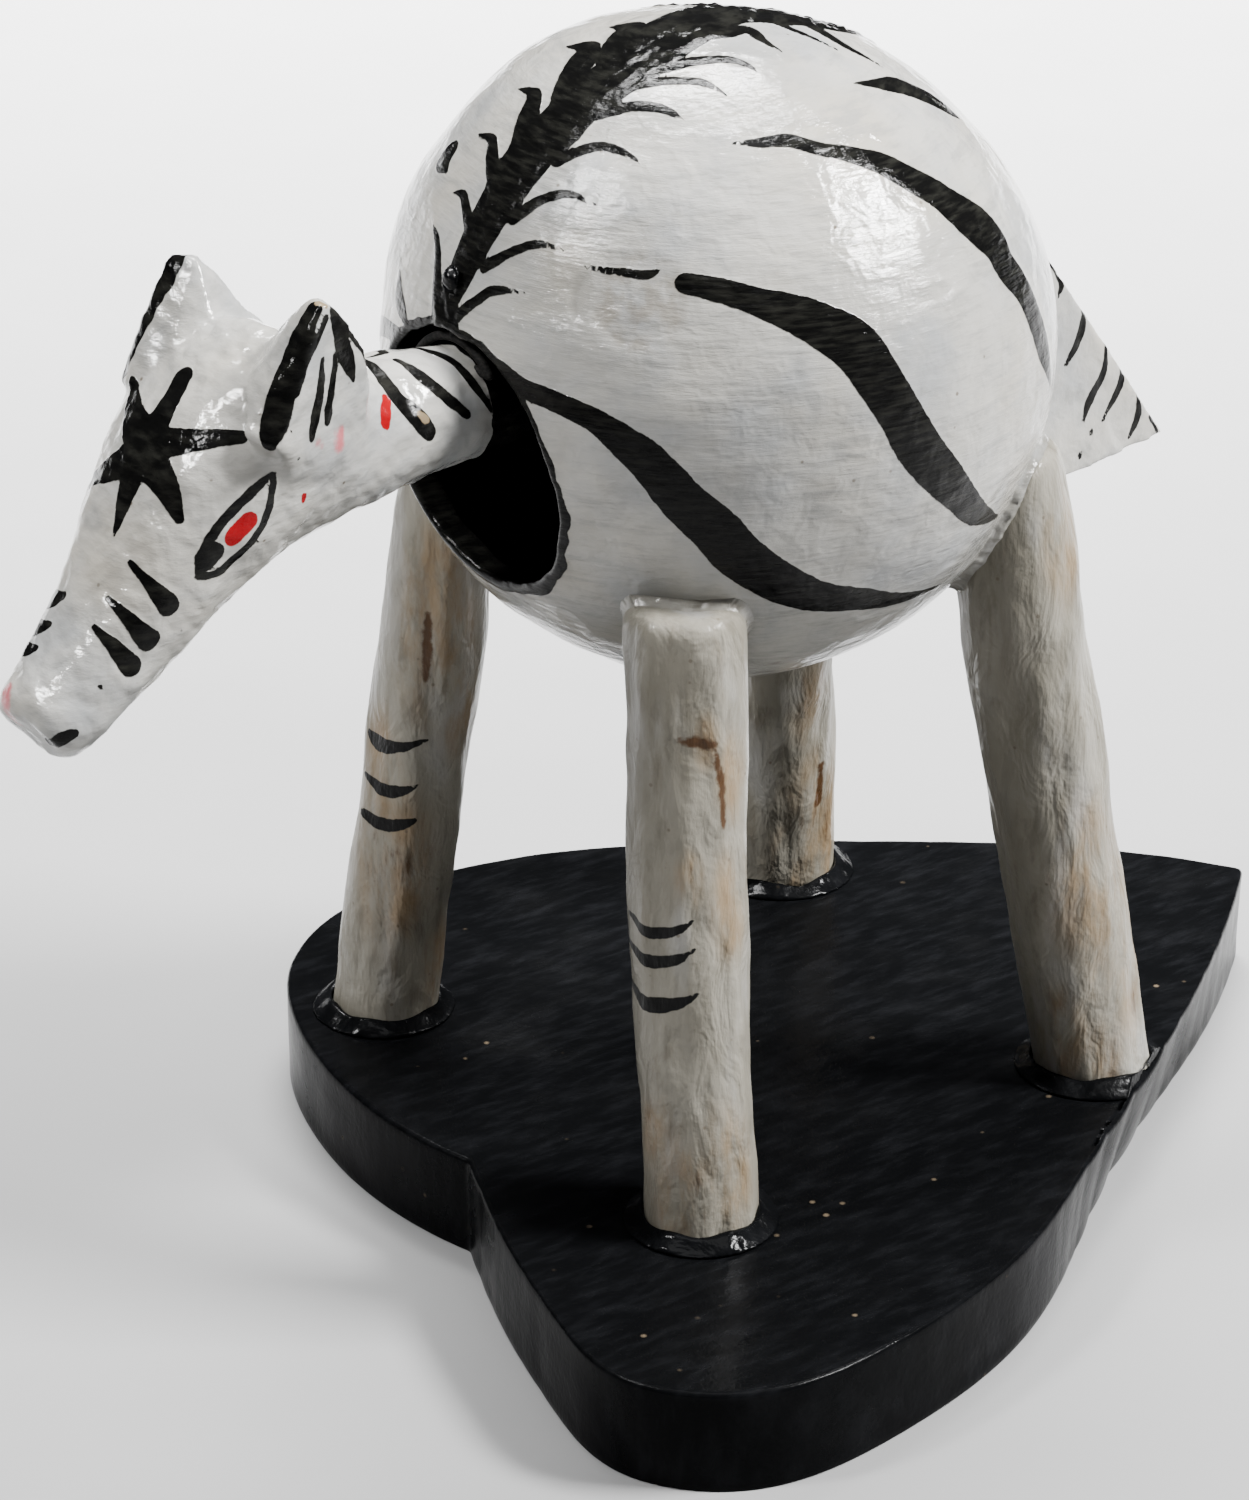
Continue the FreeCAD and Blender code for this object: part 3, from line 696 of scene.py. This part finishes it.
# Brush strokes on the head: across, forward, up and half width in mm along each.
STAR = (
    ((-1.3, 79.1, 5.6, 2.6), (-1, 76.2, 9.2, 1.7), (-1.9, 73, 11.9, 1.3)),
    ((-1.3, 79.1, 5.6, 2.4), (4.6, 77, 7.5, 1.4), (8.9, 73.3, 8.3, 0.75)),
    ((-1.3, 79.1, 5.6, 2.4), (4.3, 80.3, 3.3, 1.65), (7.1, 80.6, 0.3, 0.6)),
    ((-1.3, 79.1, 5.6, 2.6), (-0.5, 81.9, 1.6, 1.5), (0.5, 84.7, -2.5, 0.3)),
    ((-1.3, 79.1, 5.6, 2.6), (-4, 80.4, 3, 2), (-8.6, 80.4, -0.3, 1)),
    ((-1.3, 79.1, 5.6, 2.6), (-6.5, 76.5, 7.4, 1.7), (-10, 74.2, 9.2, 0.8)),
)
EYE = (
    ((9.1, 80.1, -6, 0.35), (9.4, 79, -2.6, 0.6), (10.1, 76.4, 0.4, 0.6), (10.8, 73.3, 2.8, 0.6),
     (11, 71, 4.5, 0.3)),
    ((9.1, 80.1, -6, 0.35), (9.5, 77.1, -5.9, 0.6), (10.3, 74.1, -3.9, 0.55), (10.8, 71.9, -1.1, 0.55),
     (11.1, 71.2, 2.4, 0.5), (11, 71, 4.5, 0.3)),
    ((9.1, 79.9, -5.6, 0.4), (9.3, 78.9, -3.9, 1.4), (9.5, 78, -3.5, 1.2)),
)
SNOUT_DROPS = (
    ((4, 85.1, -4.5, 0.35), (6.9, 84.6, -6.3, 0.8), (8.3, 83.4, -8.5, 1.3)),
    ((3.1, 87.6, -8.2, 0.35), (6.3, 87.1, -9.9, 0.85), (7.4, 85.6, -12.2, 1.4)),
    ((3.2, 89.5, -11, 0.35), (5.5, 89, -12.5, 0.8), (6.8, 87.7, -14.8, 1.3)),
)
RIGHT_DROPS = (
    ((-3.4, 88.8, -9.8, 0.5), (-5.2, 88.7, -10.9, 1.1), (-7.2, 86.4, -13, 1.3)),
    ((-3.3, 90.7, -12.8, 0.5), (-5, 90.5, -13.9, 1), (-6.5, 88.4, -16.2, 1.2)),
    ((-3.2, 92.3, -15.3, 0.45), (-4.6, 92.1, -16.3, 0.9), (-6, 90.2, -18.4, 1)),
)
NOSTRIL = (((2.6, 94.9, -22.2, 0.6), (4.2, 95, -21.4, 0.85), (4.9, 94.3, -21, 0.6)),)
EAR_BLACK = (
    ((11.8, 65.4, 21.4, 1.1), (12, 67.9, 17.8, 1.6), (12.3, 70.1, 13.9, 1.6), (12.7, 71.9, 10.4, 1.6),
     (13, 72.8, 8.6, 0.9)),
    ((12.8, 64.6, 20.6, 0.5), (13.2, 67.4, 17, 0.5), (13.5, 69.4, 13.6, 0.5)),
)
EAR_LINES = (
    ((13, 65, 16, 0.35), (13.3, 65.5, 11.9, 0.8), (13.5, 66.1, 9, 0.95), (13.6, 66.5, 7.6, 0.6)),
    ((12.7, 63, 16, 0.35), (12.8, 63.2, 12.2, 0.7), (12.8, 63.7, 9, 0.7), (12.8, 63.8, 8.4, 0.4)),
)
EAR_REAR = (
    ((12.4, 63.6, 21.2, 0.5), (12.5, 62.3, 18.4, 1), (12.4, 61.5, 16, 1.25), (11.8, 60.5, 13.8, 0.9),
     (11.2, 59.6, 11.9, 0.3)),
    ((12.4, 63.2, 21.6, 0.5), (12, 61.2, 19.4, 0.7), (10.8, 58.7, 15.9, 0.7), (9.2, 56, 10.8, 0.3)),
)
NECK_STRIPES = (
    ((0.2, 50.2, 8.9, 0.6), (5.5, 50.2, 6.5, 1.15), (7.2, 47.8, 3, 1.2), (7.4, 46.7, 1.4, 0.95)),
    ((1.2, 46.2, 8.1, 0.55), (5.4, 44.9, 6.3, 0.95), (6.7, 40.8, 1.9, 0.55)),
    ((-0.5, 49, 8.9, 0.25), (-1.3, 45.7, 8.3, 0.4)),
    ((-2.5, 42.5, 7.6, 0.4), (2.5, 39.7, 6.9, 0.6), (5.4, 38.8, 4.8, 0.6), (6.5, 37.5, 1.5, 0.3)),
)
NICKS = (
    ((13.8, 70.2, 9.5, 0.2), (13.8, 70, 9.2, 0.1)), ((13.9, 68.8, 5.6, 0.25), (13.9, 68.5, 5.4, 0.1)),
    ((10.4, 72.6, -3.8, 0.2), (10.4, 72.2, -3.9, 0.1)), ((8.2, 81.7, -12, 0.15), (8.2, 81.5, -12.2, 0.1)),
    ((5.8, 91, -16.7, 0.3), (5.9, 90.8, -16.9, 0.1)), ((7, 75.2, -12.8, 0.2), (7.2, 75, -12.6, 0.1)),
)
BOTH_SIDES = EYE + NOSTRIL + EAR_BLACK + EAR_LINES + EAR_REAR + NECK_STRIPES[:2]
HEAD_INK = (BOTH_SIDES + mirrored(BOTH_SIDES) + STAR + SNOUT_DROPS + RIGHT_DROPS + NECK_STRIPES[2:] + NICKS)
IRIS = (((10.2, 75.8, -2.1, 1.15), (10.6, 74.1, -0.7, 1.15)),)
RED_OVAL = (((6.3, 51.8, 6.3, 0.7), (7.3, 52.7, 5.4, 0.8), (7.9, 53.2, 4.3, 0.7)),)
RED_DOT = (((10.7, 66.5, 0.2, 0.32), (10.7, 66.5, -0.5, 0.32)),)
HEAD_RED = IRIS + mirrored(IRIS) + RED_OVAL + RED_DOT
HEAD_PINK = (
    ((12.7, 61.5, 6.5, 0.7), (12.8, 61.7, 5.2, 0.7)),
    ((13.3, 65.4, 6.4, 0.3), (13.3, 64.8, 6.1, 0.3)),
    ((-2, 96, -20.4, 0.9), (-3.2, 95.6, -19.4, 0.8)),
)
HEAD_BARE = (
    ((11.8, 64.8, 22, 0.45), (12.4, 64.4, 21.8, 0.3)),
    ((-11.8, 64.8, 22, 0.4), (-12.3, 64.4, 21.8, 0.3)),
    ((7, 47.7, 3.9, 0.35), (7.3, 47, 3, 0.45)),
)


def head_gap(strokes):
    placed = [[(*head_point(x, forward, up), half) for x, forward, up, half in stroke] for stroke in strokes]
    return paint_gap(head_points, placed, head_surface)


# Painted shade: the neck is painted black from this far forward of the gourd's middle inwards, with a ragged
# edge, for the dark where the neck goes into the opening.
NECK_SHADE_BLACK = 37.2
neck_shade_gap = -head_points[:, 1] - NECK_SHADE_BLACK - 0.3 * ripple(head_points, 3, 13)
head_ink_and_shade = np.minimum(head_gap(HEAD_INK), neck_shade_gap)
head_red, head_pink, head_bare = head_gap(HEAD_RED), head_gap(HEAD_PINK), head_gap(HEAD_BARE)
set_points(head, turned(head_points))
piece("carved_head", head, zebra_finish("head_paint", (1, 1, 0.3), 20.0, red=True), "head", ["head"],
      "head_paint",
      # The head's ink values hold its brush strokes and the painted shade on the neck's inner end.
      ink=head_ink_and_shade, red=head_red, pink=head_pink, bare=head_bare)

# ------------------------------------ heart board
BOARD_MIDDLE = np.array((4.0, 12.0))
# How far the hand-sawn edge lies from its drawing: degrees round the board's middle and mm.
BOARD_SLIPS = ((-180, 1.2), (-155, 1.8), (-135, 0.9), (-110, 0), (-80, 0), (-50, -0.4), (-20, 0.2), (0, -0.4),
               (30, -0.1), (60, -0.1), (80, -0.3), (92, 0.2), (100, 0.6), (130, 0.8), (160, 1), (180, 1.2))

# How far in the saw came out underneath, in the same way.
BOARD_LEAN = ((-180, 0), (-10, 0), (10, 1.5), (30, 3.2), (55, 3.4), (75, 1.8), (88, 0), (180, 0))


def round_board(rows, turns, spread=12):
    """The second column at each turn, softened over some degrees to each side."""
    angles, values = np.array(rows, float).T
    return np.mean([np.interp(np.degrees(turns) + shift, angles, values, period=360)
                    for shift in np.linspace(-spread, spread, 9)], axis=0)


def board_outline(turns):
    """Distance from the board's middle to its edge at each turn, from the lowest corners of the CAD board."""
    points = get_points(cad_mesh("base_board"))
    low = points[points[:, 2] < 0.01][:, :2]
    nails = get_points(cad_mesh("leg_nails"))
    heads = nails[nails[:, 2] < 0.01][:, :2]
    clear = np.min(np.linalg.norm(low[:, None] - heads[None], axis=2), axis=1) > 2.5
    away = low[clear] - BOARD_MIDDLE
    angle = np.arctan2(away[:, 1], away[:, 0])
    order = np.argsort(angle)
    reach = np.interp(turns, angle[order], np.linalg.norm(away, axis=1)[order], period=2 * math.pi)
    return reach + round_board(BOARD_SLIPS, turns)


def board_mesh():
    columns = 720
    turns = np.linspace(-math.pi, math.pi, columns, endpoint=False)
    reach = board_outline(turns)
    reach = (np.roll(reach, 1) + 2 * reach + np.roll(reach, -1)) / 4
    heading = np.stack((np.cos(turns), np.sin(turns)), 1)
    lean = round_board(BOARD_LEAN, turns)
    worn = 0.7
    arc = np.linspace(0, math.pi / 2, 6)
    levels = [(share, 0.0, BOARD_TOP) for share in np.linspace(0, 1, 66)[1:-1]]
    levels += [(1.0, worn * (1 - math.sin(t)), BOARD_TOP - worn * (1 - math.cos(t))) for t in arc]
    levels += [(1.0, 0.0, z) for z in np.linspace(BOARD_TOP - worn, 0.3, 18)[1:]]
    levels += [(1.0, 0.1, 0.08), (1.0, 0.3, 0.0)]
    levels += [(share, 0.0, 0.0) for share in np.linspace(1, 0, 16)[1:-1]]
    rings = []
    for share, inset, z in levels:
        plane = BOARD_MIDDLE + heading * ((reach - inset - lean * (1 - z / BOARD_TOP)) * share)[:, None]
        rings.append(np.column_stack((plane, np.full(columns, z))))
    points = np.vstack(rings + [(*BOARD_MIDDLE, BOARD_TOP), (*BOARD_MIDDLE, 0)])
    index = np.arange(len(levels) * columns).reshape(-1, columns)
    fans = pole_faces(len(points) - 2, index[0]) + pole_faces(len(points) - 1, index[-1], True)
    return mesh_from("heart_board", points, ring_faces(index) + fans)


board = board_mesh()
board_points, board_normals = get_points(board), get_normals(board)
board_wave = 0.06 * ripple(board_points, 26, 21) + 0.02 * ripple(board_points, 8, 22, (1, 1, 0.4))
lifted = step(board_points[:, 2], 0.5, 3.0)
board_wave = (np.clip(board_wave, -0.3, 0.12) - 0.05) * lifted
set_points(board, board_points + board_normals * board_wave[:, None])
board_gloss = black_finish("board_gloss", grain=(0.25, 1, 1), waviness=0.12, shine=0.03)
piece("heart_board", board, board_gloss, "stand", ["base_board"], "board_paint")

# ------------------------------------ legs, glue and putty
def leg_finish(name, shift):
    """Peeled twig under thin cream paint: pale ridges, brown in the grooves and stains."""
    f = Finish(name)
    cloud = f.noise(13, stretch=(1, 1, 2.0), shift=shift, detail=4)
    grain = f.noise(2.0, stretch=(1, 1, 7), shift=shift + 1, detail=4, roughness=0.6)
    colour = f.mix(f.band(cloud, 0.4, 0.7), (0.195, 0.183, 0.152), (0.145, 0.134, 0.107))
    colour = f.mix(f.band(f.noise(8, stretch=(1, 1, 3), shift=shift + 7), 0.52, 0.72, 0, 0.8), colour,
                   (0.25, 0.246, 0.232))
    colour = f.mix(f.band(f.noise(3.2, stretch=(1, 1, 2.4), shift=shift + 11, detail=6, roughness=0.65),
                          0.5, 0.7, 0, 0.6), colour, (0.10, 0.09, 0.07))
    colour = f.mix(f.band(grain, 0.54, 0.76, 0, 0.4), colour, (0.085, 0.068, 0.044))
    patches = f.noise(4.5, stretch=(1, 1, 3), shift=shift, detail=6, roughness=0.65)
    stain = f.times(f.values("stain"), f.band(patches, 0.36, 0.66))
    colour = f.mix(f.times(stain, 0.65), colour, OCHRE)
    patches = f.noise(2.6, stretch=(1, 1, 4), shift=shift + 4, detail=6, roughness=0.7)
    deep = f.times(f.values("stain"), f.band(patches, 0.56, 0.74))
    colour = f.mix(f.times(deep, 0.8), colour, BROWN)
    spots = f.band(f.specks(3.4, shift=shift), 0.04, 0.09, 1, 0)
    colour = f.mix(f.times(spots, 0.6), colour, DIRT)
    colour, _ = inked(f, colour, "knot", 0.6, BROWN, 0.25)
    colour, cover = inked(f, colour, "ink", 0.25)
    f.set(Base_Color=colour)
    relief = f.bump(grain, 0.22)
    relief = f.bump(f.noise(4.0, stretch=(1, 1, 2), shift=shift + 2, detail=3, warp=0.5), 0.8, relief)
    relief = f.bump(f.noise(0.5, shift=shift), 0.05, relief)
    f.set(Roughness=f.band(cloud, 0.3, 0.7, 0.34, 0.52), Normal=relief, Specular_IOR_Level=0.1,
          Coat_Weight=f.band(cover, 0, 1, 0.45, 0.1), Coat_Roughness=0.14, Coat_Normal=relief, Coat_IOR=1.3)
    return f.material


def distance_to(surface, points, deepest=1.0):
    """Signed distance in mm to a closed surface, and the direction in which it grows. No point lies
    deeper inside than the last value: a nearest face that says so is the far side of a thin rim."""
    hits = [surface.find_nearest(Vector(place)) for place in points]
    away = points - np.array([hit[0] for hit in hits])
    side = np.sign((away * np.array([hit[1] for hit in hits])).sum(1) + 1e-12)
    length = np.linalg.norm(away, axis=1)
    side = np.where(length > deepest, 1.0, side)
    return length * side, away / np.maximum(length, 1e-6)[:, None] * side[:, None]


def feather(mesh, stick_surface, seed):
    """Work putty out thin: a smooth hollow between the gourd and the stick that runs out under both."""
    points = get_points(mesh)
    blend = 1.6
    thickest = 0.3
    for _ in range(6):
        to_stick, from_stick = distance_to(stick_surface, points)
        to_gourd, from_gourd = distance_to(gourd_surface, points)
        share = np.clip(0.5 + 0.5 * (to_stick - to_gourd) / blend, 0, 1)
        gap = to_stick * (1 - share) + to_gourd * share - blend * share * (1 - share)
        slope = from_stick * (1 - share)[:, None] + from_gourd * share[:, None]
        slope /= np.maximum(np.linalg.norm(slope, axis=1), 0.5)[:, None]
        lay = 0.02 + 0.03 * ripple(points, 5, seed) - 0.4 * step(np.maximum(to_stick, to_gourd), 0.7, 1.9)
        points = points - slope * np.maximum(gap - lay, 0)[:, None]
    set_points(mesh, points)
    soften(mesh, np.ones(len(points)), 4)
    points = get_points(mesh)
    for _ in range(3):
        to_stick, from_stick = distance_to(stick_surface, points)
        to_gourd, from_gourd = distance_to(gourd_surface, points)
        nearer = np.where((to_stick < to_gourd)[:, None], from_stick, from_gourd)
        points = points - nearer * np.maximum(np.minimum(to_stick, to_gourd) - thickest, 0)[:, None]
    set_points(mesh, points)


def ink_on_gourd(mesh):
    """The gourd's stripes go on over the putty."""
    return paint_gap(get_points(mesh), [on_gourd(stroke) for stroke in LEFT_STRIPES + RIGHT_STRIPES])


# Stains on each leg: across, along y, height above the table, reach in mm.
STAINS = {
    "front_left": ((33.8, -26.4, 75.6, 2.2), (34.3, -22.8, 70.5, 3.5), (35.9, -23.9, 55.2, 4.5),
                   (34.3, -29.1, 59, 2.5), (36.3, -31.7, 18, 6), (39, -26.5, 22.6, 5),
                   (32.4, -32.5, 27, 3.5)),
    "front_right": ((-21.2, -26.1, 74.9, 6), (-22.1, -26.7, 67.5, 6.5), (-20.3, -23.4, 68, 4.5),
                    (-21.5, -22.5, 59, 5), (-28, -30.5, 50.6, 4.5), (-28, -30.9, 45.2, 4),
                    (-25.8, -30.2, 36, 7.5), (-26.4, -23.3, 21, 4.5)),
    "rear_left": ((32.4, 27.2, 86.5, 5), (36.6, 30, 42.5, 7), (37.1, 33, 38, 7.5), (36.4, 37.4, 29, 7),
                  (34.5, 28.2, 19.9, 5), (37.9, 32, 16, 4.5)),
    "rear_right": ((-21.8, 33.4, 44, 4.5), (-24.5, 36.8, 27, 7), (-25.7, 39.5, 20, 6),
                   (-26.4, 33.3, 18, 4.5)),
}
# How far the one bent twig bows out of its straight line, in mm.
LEG_BOW = {"front_left": (-0.35, -0.5, 0)}
# Brush strokes and brown knots on the legs: place and half width in mm.
LEG_INK = {
    "front_left": (
        ((26.5, -30.2, 52.6, 0.35), (30.2, -31.7, 51.9, 0.75), (33.2, -30.4, 52.8, 0.6),
         (34.9, -28.9, 54.4, 0.15)),
        ((26.5, -30.2, 48.9, 0.4), (30.3, -31.8, 48.2, 0.85), (33.4, -30.5, 49.2, 0.65),
         (35.2, -29, 50.7, 0.15)),
        ((26.5, -30.2, 43.6, 0.5), (30.2, -32, 42.8, 1), (33.7, -30.7, 43.7, 0.8), (35.8, -29, 45.2, 0.2))),
    "front_right": (
        ((-30.6, -30.2, 53.4, 0.5), (-29, -30.4, 52.7, 1.1), (-26.3, -30.1, 53, 0.9),
         (-23.8, -28.8, 53.7, 0.55), (-22.8, -26.8, 54.3, 0.15)),
        ((-31, -30.6, 47.6, 0.4), (-27.8, -30.8, 46.8, 0.9), (-25, -29.6, 47.3, 0.75),
         (-23.5, -27.9, 48.2, 0.15)),
        ((-30.8, -31.5, 42.6, 0.6), (-27.6, -31.1, 42.1, 0.9), (-25, -29.7, 42.6, 0.8),
         (-24, -28.2, 43.2, 0.35))),
}
LEG_KNOTS = {
    "front_left": (((31.6, -28.6, 75.9, 0.35), (33.2, -27.2, 75.6, 0.8), (34.4, -26, 75.2, 0.55)),
                   ((35.2, -25.6, 74, 0.3), (35.8, -24.9, 70, 0.45), (36.2, -24.5, 65, 0.3))),
    "front_right": (((-22.1, -27, 71.5, 0.4), (-22.3, -27, 66.5, 0.7), (-22.6, -27, 62.5, 0.3)),),
    "rear_right": (((-24, 36, 33, 0.4), (-24.3, 36.5, 27, 0.8)),),
}
glue_gloss = black_finish("glue_gloss", dust=0.25, shine=0.05)
# The putty is darkened with grey-brown patches all over.
putty_white = zebra_finish("putty_paint", shift=40.0, darkening=0.75)
for number, leg in enumerate(("front_left", "front_right", "rear_left", "rear_right")):
    mesh = even_mesh("twig_" + leg, [cad_mesh(leg + "_leg")], 0.5, 3)
    points, normals = get_points(mesh), get_normals(mesh)
    ridges = ripple(points, 4.5, 31 + number, (1, 1, 0.16))
    lumps = ripple(points, 15, 41 + number, (1, 1, 0.6))
    folds = ripple(points, 3.2, 35 + number, (1, 1, 0.45))
    points += normals * (np.clip(0.15 * ridges + 0.20 * lumps + 0.05 * folds, -0.6, 0.35) - 0.15)[:, None]
    points += np.array(LEG_BOW.get(leg, (0, 0, 0))) * step(points[:, 2], BOARD_TOP, 40)[:, None]
    set_points(mesh, points)
    top = points[:, 2].max()
    soften(mesh, step(points[:, 2], top - 5.0, top - 1.5), 14)
    points = get_points(mesh)
    stain = np.zeros(len(points))
    for *place, reach in STAINS[leg]:
        away = np.linalg.norm((points - place) * (1, 1, 0.45), axis=1)
        stain = np.maximum(stain, step(-away, -reach, -0.3 * reach))
    leg_surface = surface_of(mesh)
    ink = paint_gap(points, LEG_INK.get(leg, ()), leg_surface)
    knot = paint_gap(points, LEG_KNOTS.get(leg, ()), leg_surface)
    piece("twig_" + leg, mesh, leg_finish("twig_paint_" + leg, 5.0 * number), "stand", [leg + "_leg"],
          "leg_paint",
          ink=ink, stain=stain, knot=knot)

    mesh = even_mesh("glue_" + leg, [cad_mesh(leg + "_foot_glue")], 0.3, 12)
    points, normals = get_points(mesh), get_normals(mesh)
    rising = step(points[:, 2], BOARD_TOP + 0.1, BOARD_TOP + 0.7)
    points += normals * (rising * (0.16 * ripple(points, 6, 51 + number) - 0.05))[:, None]
    away = points[:, :2] - BOARD_MIDDLE
    reach = np.linalg.norm(away, axis=1)
    limit = board_outline(np.arctan2(away[:, 1], away[:, 0])) - 0.5
    points[:, :2] = BOARD_MIDDLE + away * np.minimum(1, limit / reach)[:, None]
    set_points(mesh, points)
    piece("glue_" + leg, mesh, glue_gloss, "stand", [leg + "_foot_glue"], "glue")

    mesh = even_mesh("putty_" + leg, [cad_mesh(leg + "_leg_putty")], 0.3, 4)
    feather(mesh, leg_surface, 61 + number)
    piece("putty_" + leg, mesh, putty_white, "stand", [leg + "_leg_putty"], "putty", ink=ink_on_gourd(mesh))

# ------------------------------------ tail
TAIL_STRIPES = (
    ((0.9, 50.8, 107.2, 0.3), (0.9, 52.9, 104.3, 0.6), (1.2, 52.3, 102.3, 0.2)),
    ((0.9, 57, 99.8, 0.3), (1.3, 56.2, 96.6, 0.7), (1.8, 53.5, 93.3, 0.3)),
    ((1.2, 60.8, 94, 0.3), (1.4, 60.3, 90.5, 0.6), (1.7, 58, 87.6, 0.7), (2, 56.7, 85.1, 0.25)),
    ((1, 64, 90.6, 0.25), (1.2, 63.4, 88.2, 0.6), (1.8, 60.2, 84.3, 0.25)),
    ((2.1, 58.2, 83.6, 0.3), (2.1, 58, 83.2, 0.4)),
    ((1, 66.8, 86, 0.3), (1.2, 66.8, 83.4, 0.65), (1.5, 65.1, 80.7, 0.25)),
    ((1.1, 69, 82.6, 0.3), (1.1, 70.4, 80.2, 0.3)),
    ((2.4, 56.2, 81, 0.3), (2.4, 56, 80.6, 0.4)),
)
TAIL_EDGE = (((0, 47, 112.5, 0.9), (0, 58, 98, 0.8), (0, 71, 80.5, 0.7)),)
TAIL_INK = TAIL_STRIPES + mirrored(TAIL_STRIPES) + TAIL_EDGE
tail = even_mesh("tail_wedge", [cad_mesh("tail")], 0.45, 3)
tail_ink = paint_gap(get_points(tail), TAIL_INK, surface_of(tail))
roughen(tail, 0.08, (0.07, 8, 71), (0.03, 2.5, 72))
tail_surface = surface_of(tail)
piece("tail_wedge", tail, zebra_finish("tail_paint", (1, 0.4, 0.4), 60.0), "stand", ["tail"], "tail_paint",
      ink=tail_ink)

fillet = even_mesh("tail_fillet", [cad_mesh("tail_putty")], 0.3, 4)
feather(fillet, tail_surface, 75)
piece("tail_fillet", fillet, putty_white, "stand", ["tail_putty"], "putty", ink=ink_on_gourd(fillet))

# ------------------------------------ thread, knot, weight and nails
def thread_finish(name):
    """Waxed dark cotton with a slanting twist."""
    f = Finish(name)
    twist = f.noise(0.5, stretch=(1, 1, 0.5), detail=2)
    f.set(Base_Color=f.mix(f.band(twist, 0.4, 0.65), (0.004, 0.004, 0.004), (0.014, 0.013, 0.012)),
          Roughness=0.7, Specular_IOR_Level=0.1, Normal=f.bump(twist, 0.1))
    return f.material


def clay_finish(name):
    """Dark unfired clay, pressed by fingers, with dry pale patches."""
    f = Finish(name)
    cloud = f.noise(5, detail=5)
    colour = f.mix(f.band(cloud, 0.35, 0.7), (0.13, 0.085, 0.055), (0.21, 0.155, 0.11))
    colour = f.mix(f.band(f.specks(1.6), 0.05, 0.14, 0.7, 0), colour, (0.33, 0.28, 0.22))
    f.set(Base_Color=colour, Roughness=f.band(cloud, 0.3, 0.7, 0.65, 0.9),
          Normal=f.bump(f.noise(1.2, detail=5), 0.25, f.bump(cloud, 0.5)))
    return f.material


def steel_finish(name):
    """Drawn nail steel with a little rust."""
    f = Finish(name)
    rust = f.band(f.noise(1.5, detail=5), 0.52, 0.68)
    f.set(Base_Color=f.mix(rust, (0.42, 0.41, 0.40), (0.16, 0.055, 0.02)),
          Metallic=f.maths("SUBTRACT", 1.0, rust), Roughness=f.band(rust, 0, 1, 0.32, 0.8),
          Normal=f.bump(f.noise(0.6, stretch=(1, 1, 6), detail=3), 0.04))
    return f.material


for node, finish in (("neck_thread", thread_finish("thread_cotton")),
                     ("leg_nails", steel_finish("nail_steel"))):
    nodes[node].data.materials.clear()
    nodes[node].data.materials.append(finish)

knot = even_mesh("painted_knot", [cad_mesh("thread_knot")], 0.14, 30)
roughen(knot, 0.5, (0.07, 2.4, 81))
piece("painted_knot", knot, black_finish("knot_gloss", dust=0.1), "stand", ["thread_knot"], "thread")

weight = even_mesh("clay_weight", [cad_mesh("counterweight")], 0.4, 3)
roughen(weight, 0.4, (0.30, 7, 85), (0.08, 2, 86))
piece("clay_weight", weight, clay_finish("clay_dry"), "head", ["counterweight"], "clay")

# ------------------------------------ floor
floor_finish = Finish("floor_paper")
cloud = floor_finish.band(floor_finish.noise(60, detail=3), 0.3, 0.7)
floor_finish.set(Base_Color=floor_finish.mix(cloud, (0.225,) * 3, (0.215,) * 3), Roughness=0.9,
                 Specular_IOR_Level=0.1)
reach = 3000
floor_corners = [(-reach, -reach, 0), (reach, -reach, 0), (reach, reach, 0), (-reach, reach, 0)]
floor_mesh = mesh_from("floor", floor_corners, [(0, 1, 2, 3)])
set_points(floor_mesh, get_points(floor_mesh) * MM)
floor_mesh.materials.append(floor_finish.material)
floor = bpy.data.objects.new("floor", floor_mesh)
scene.collection.objects.link(floor)
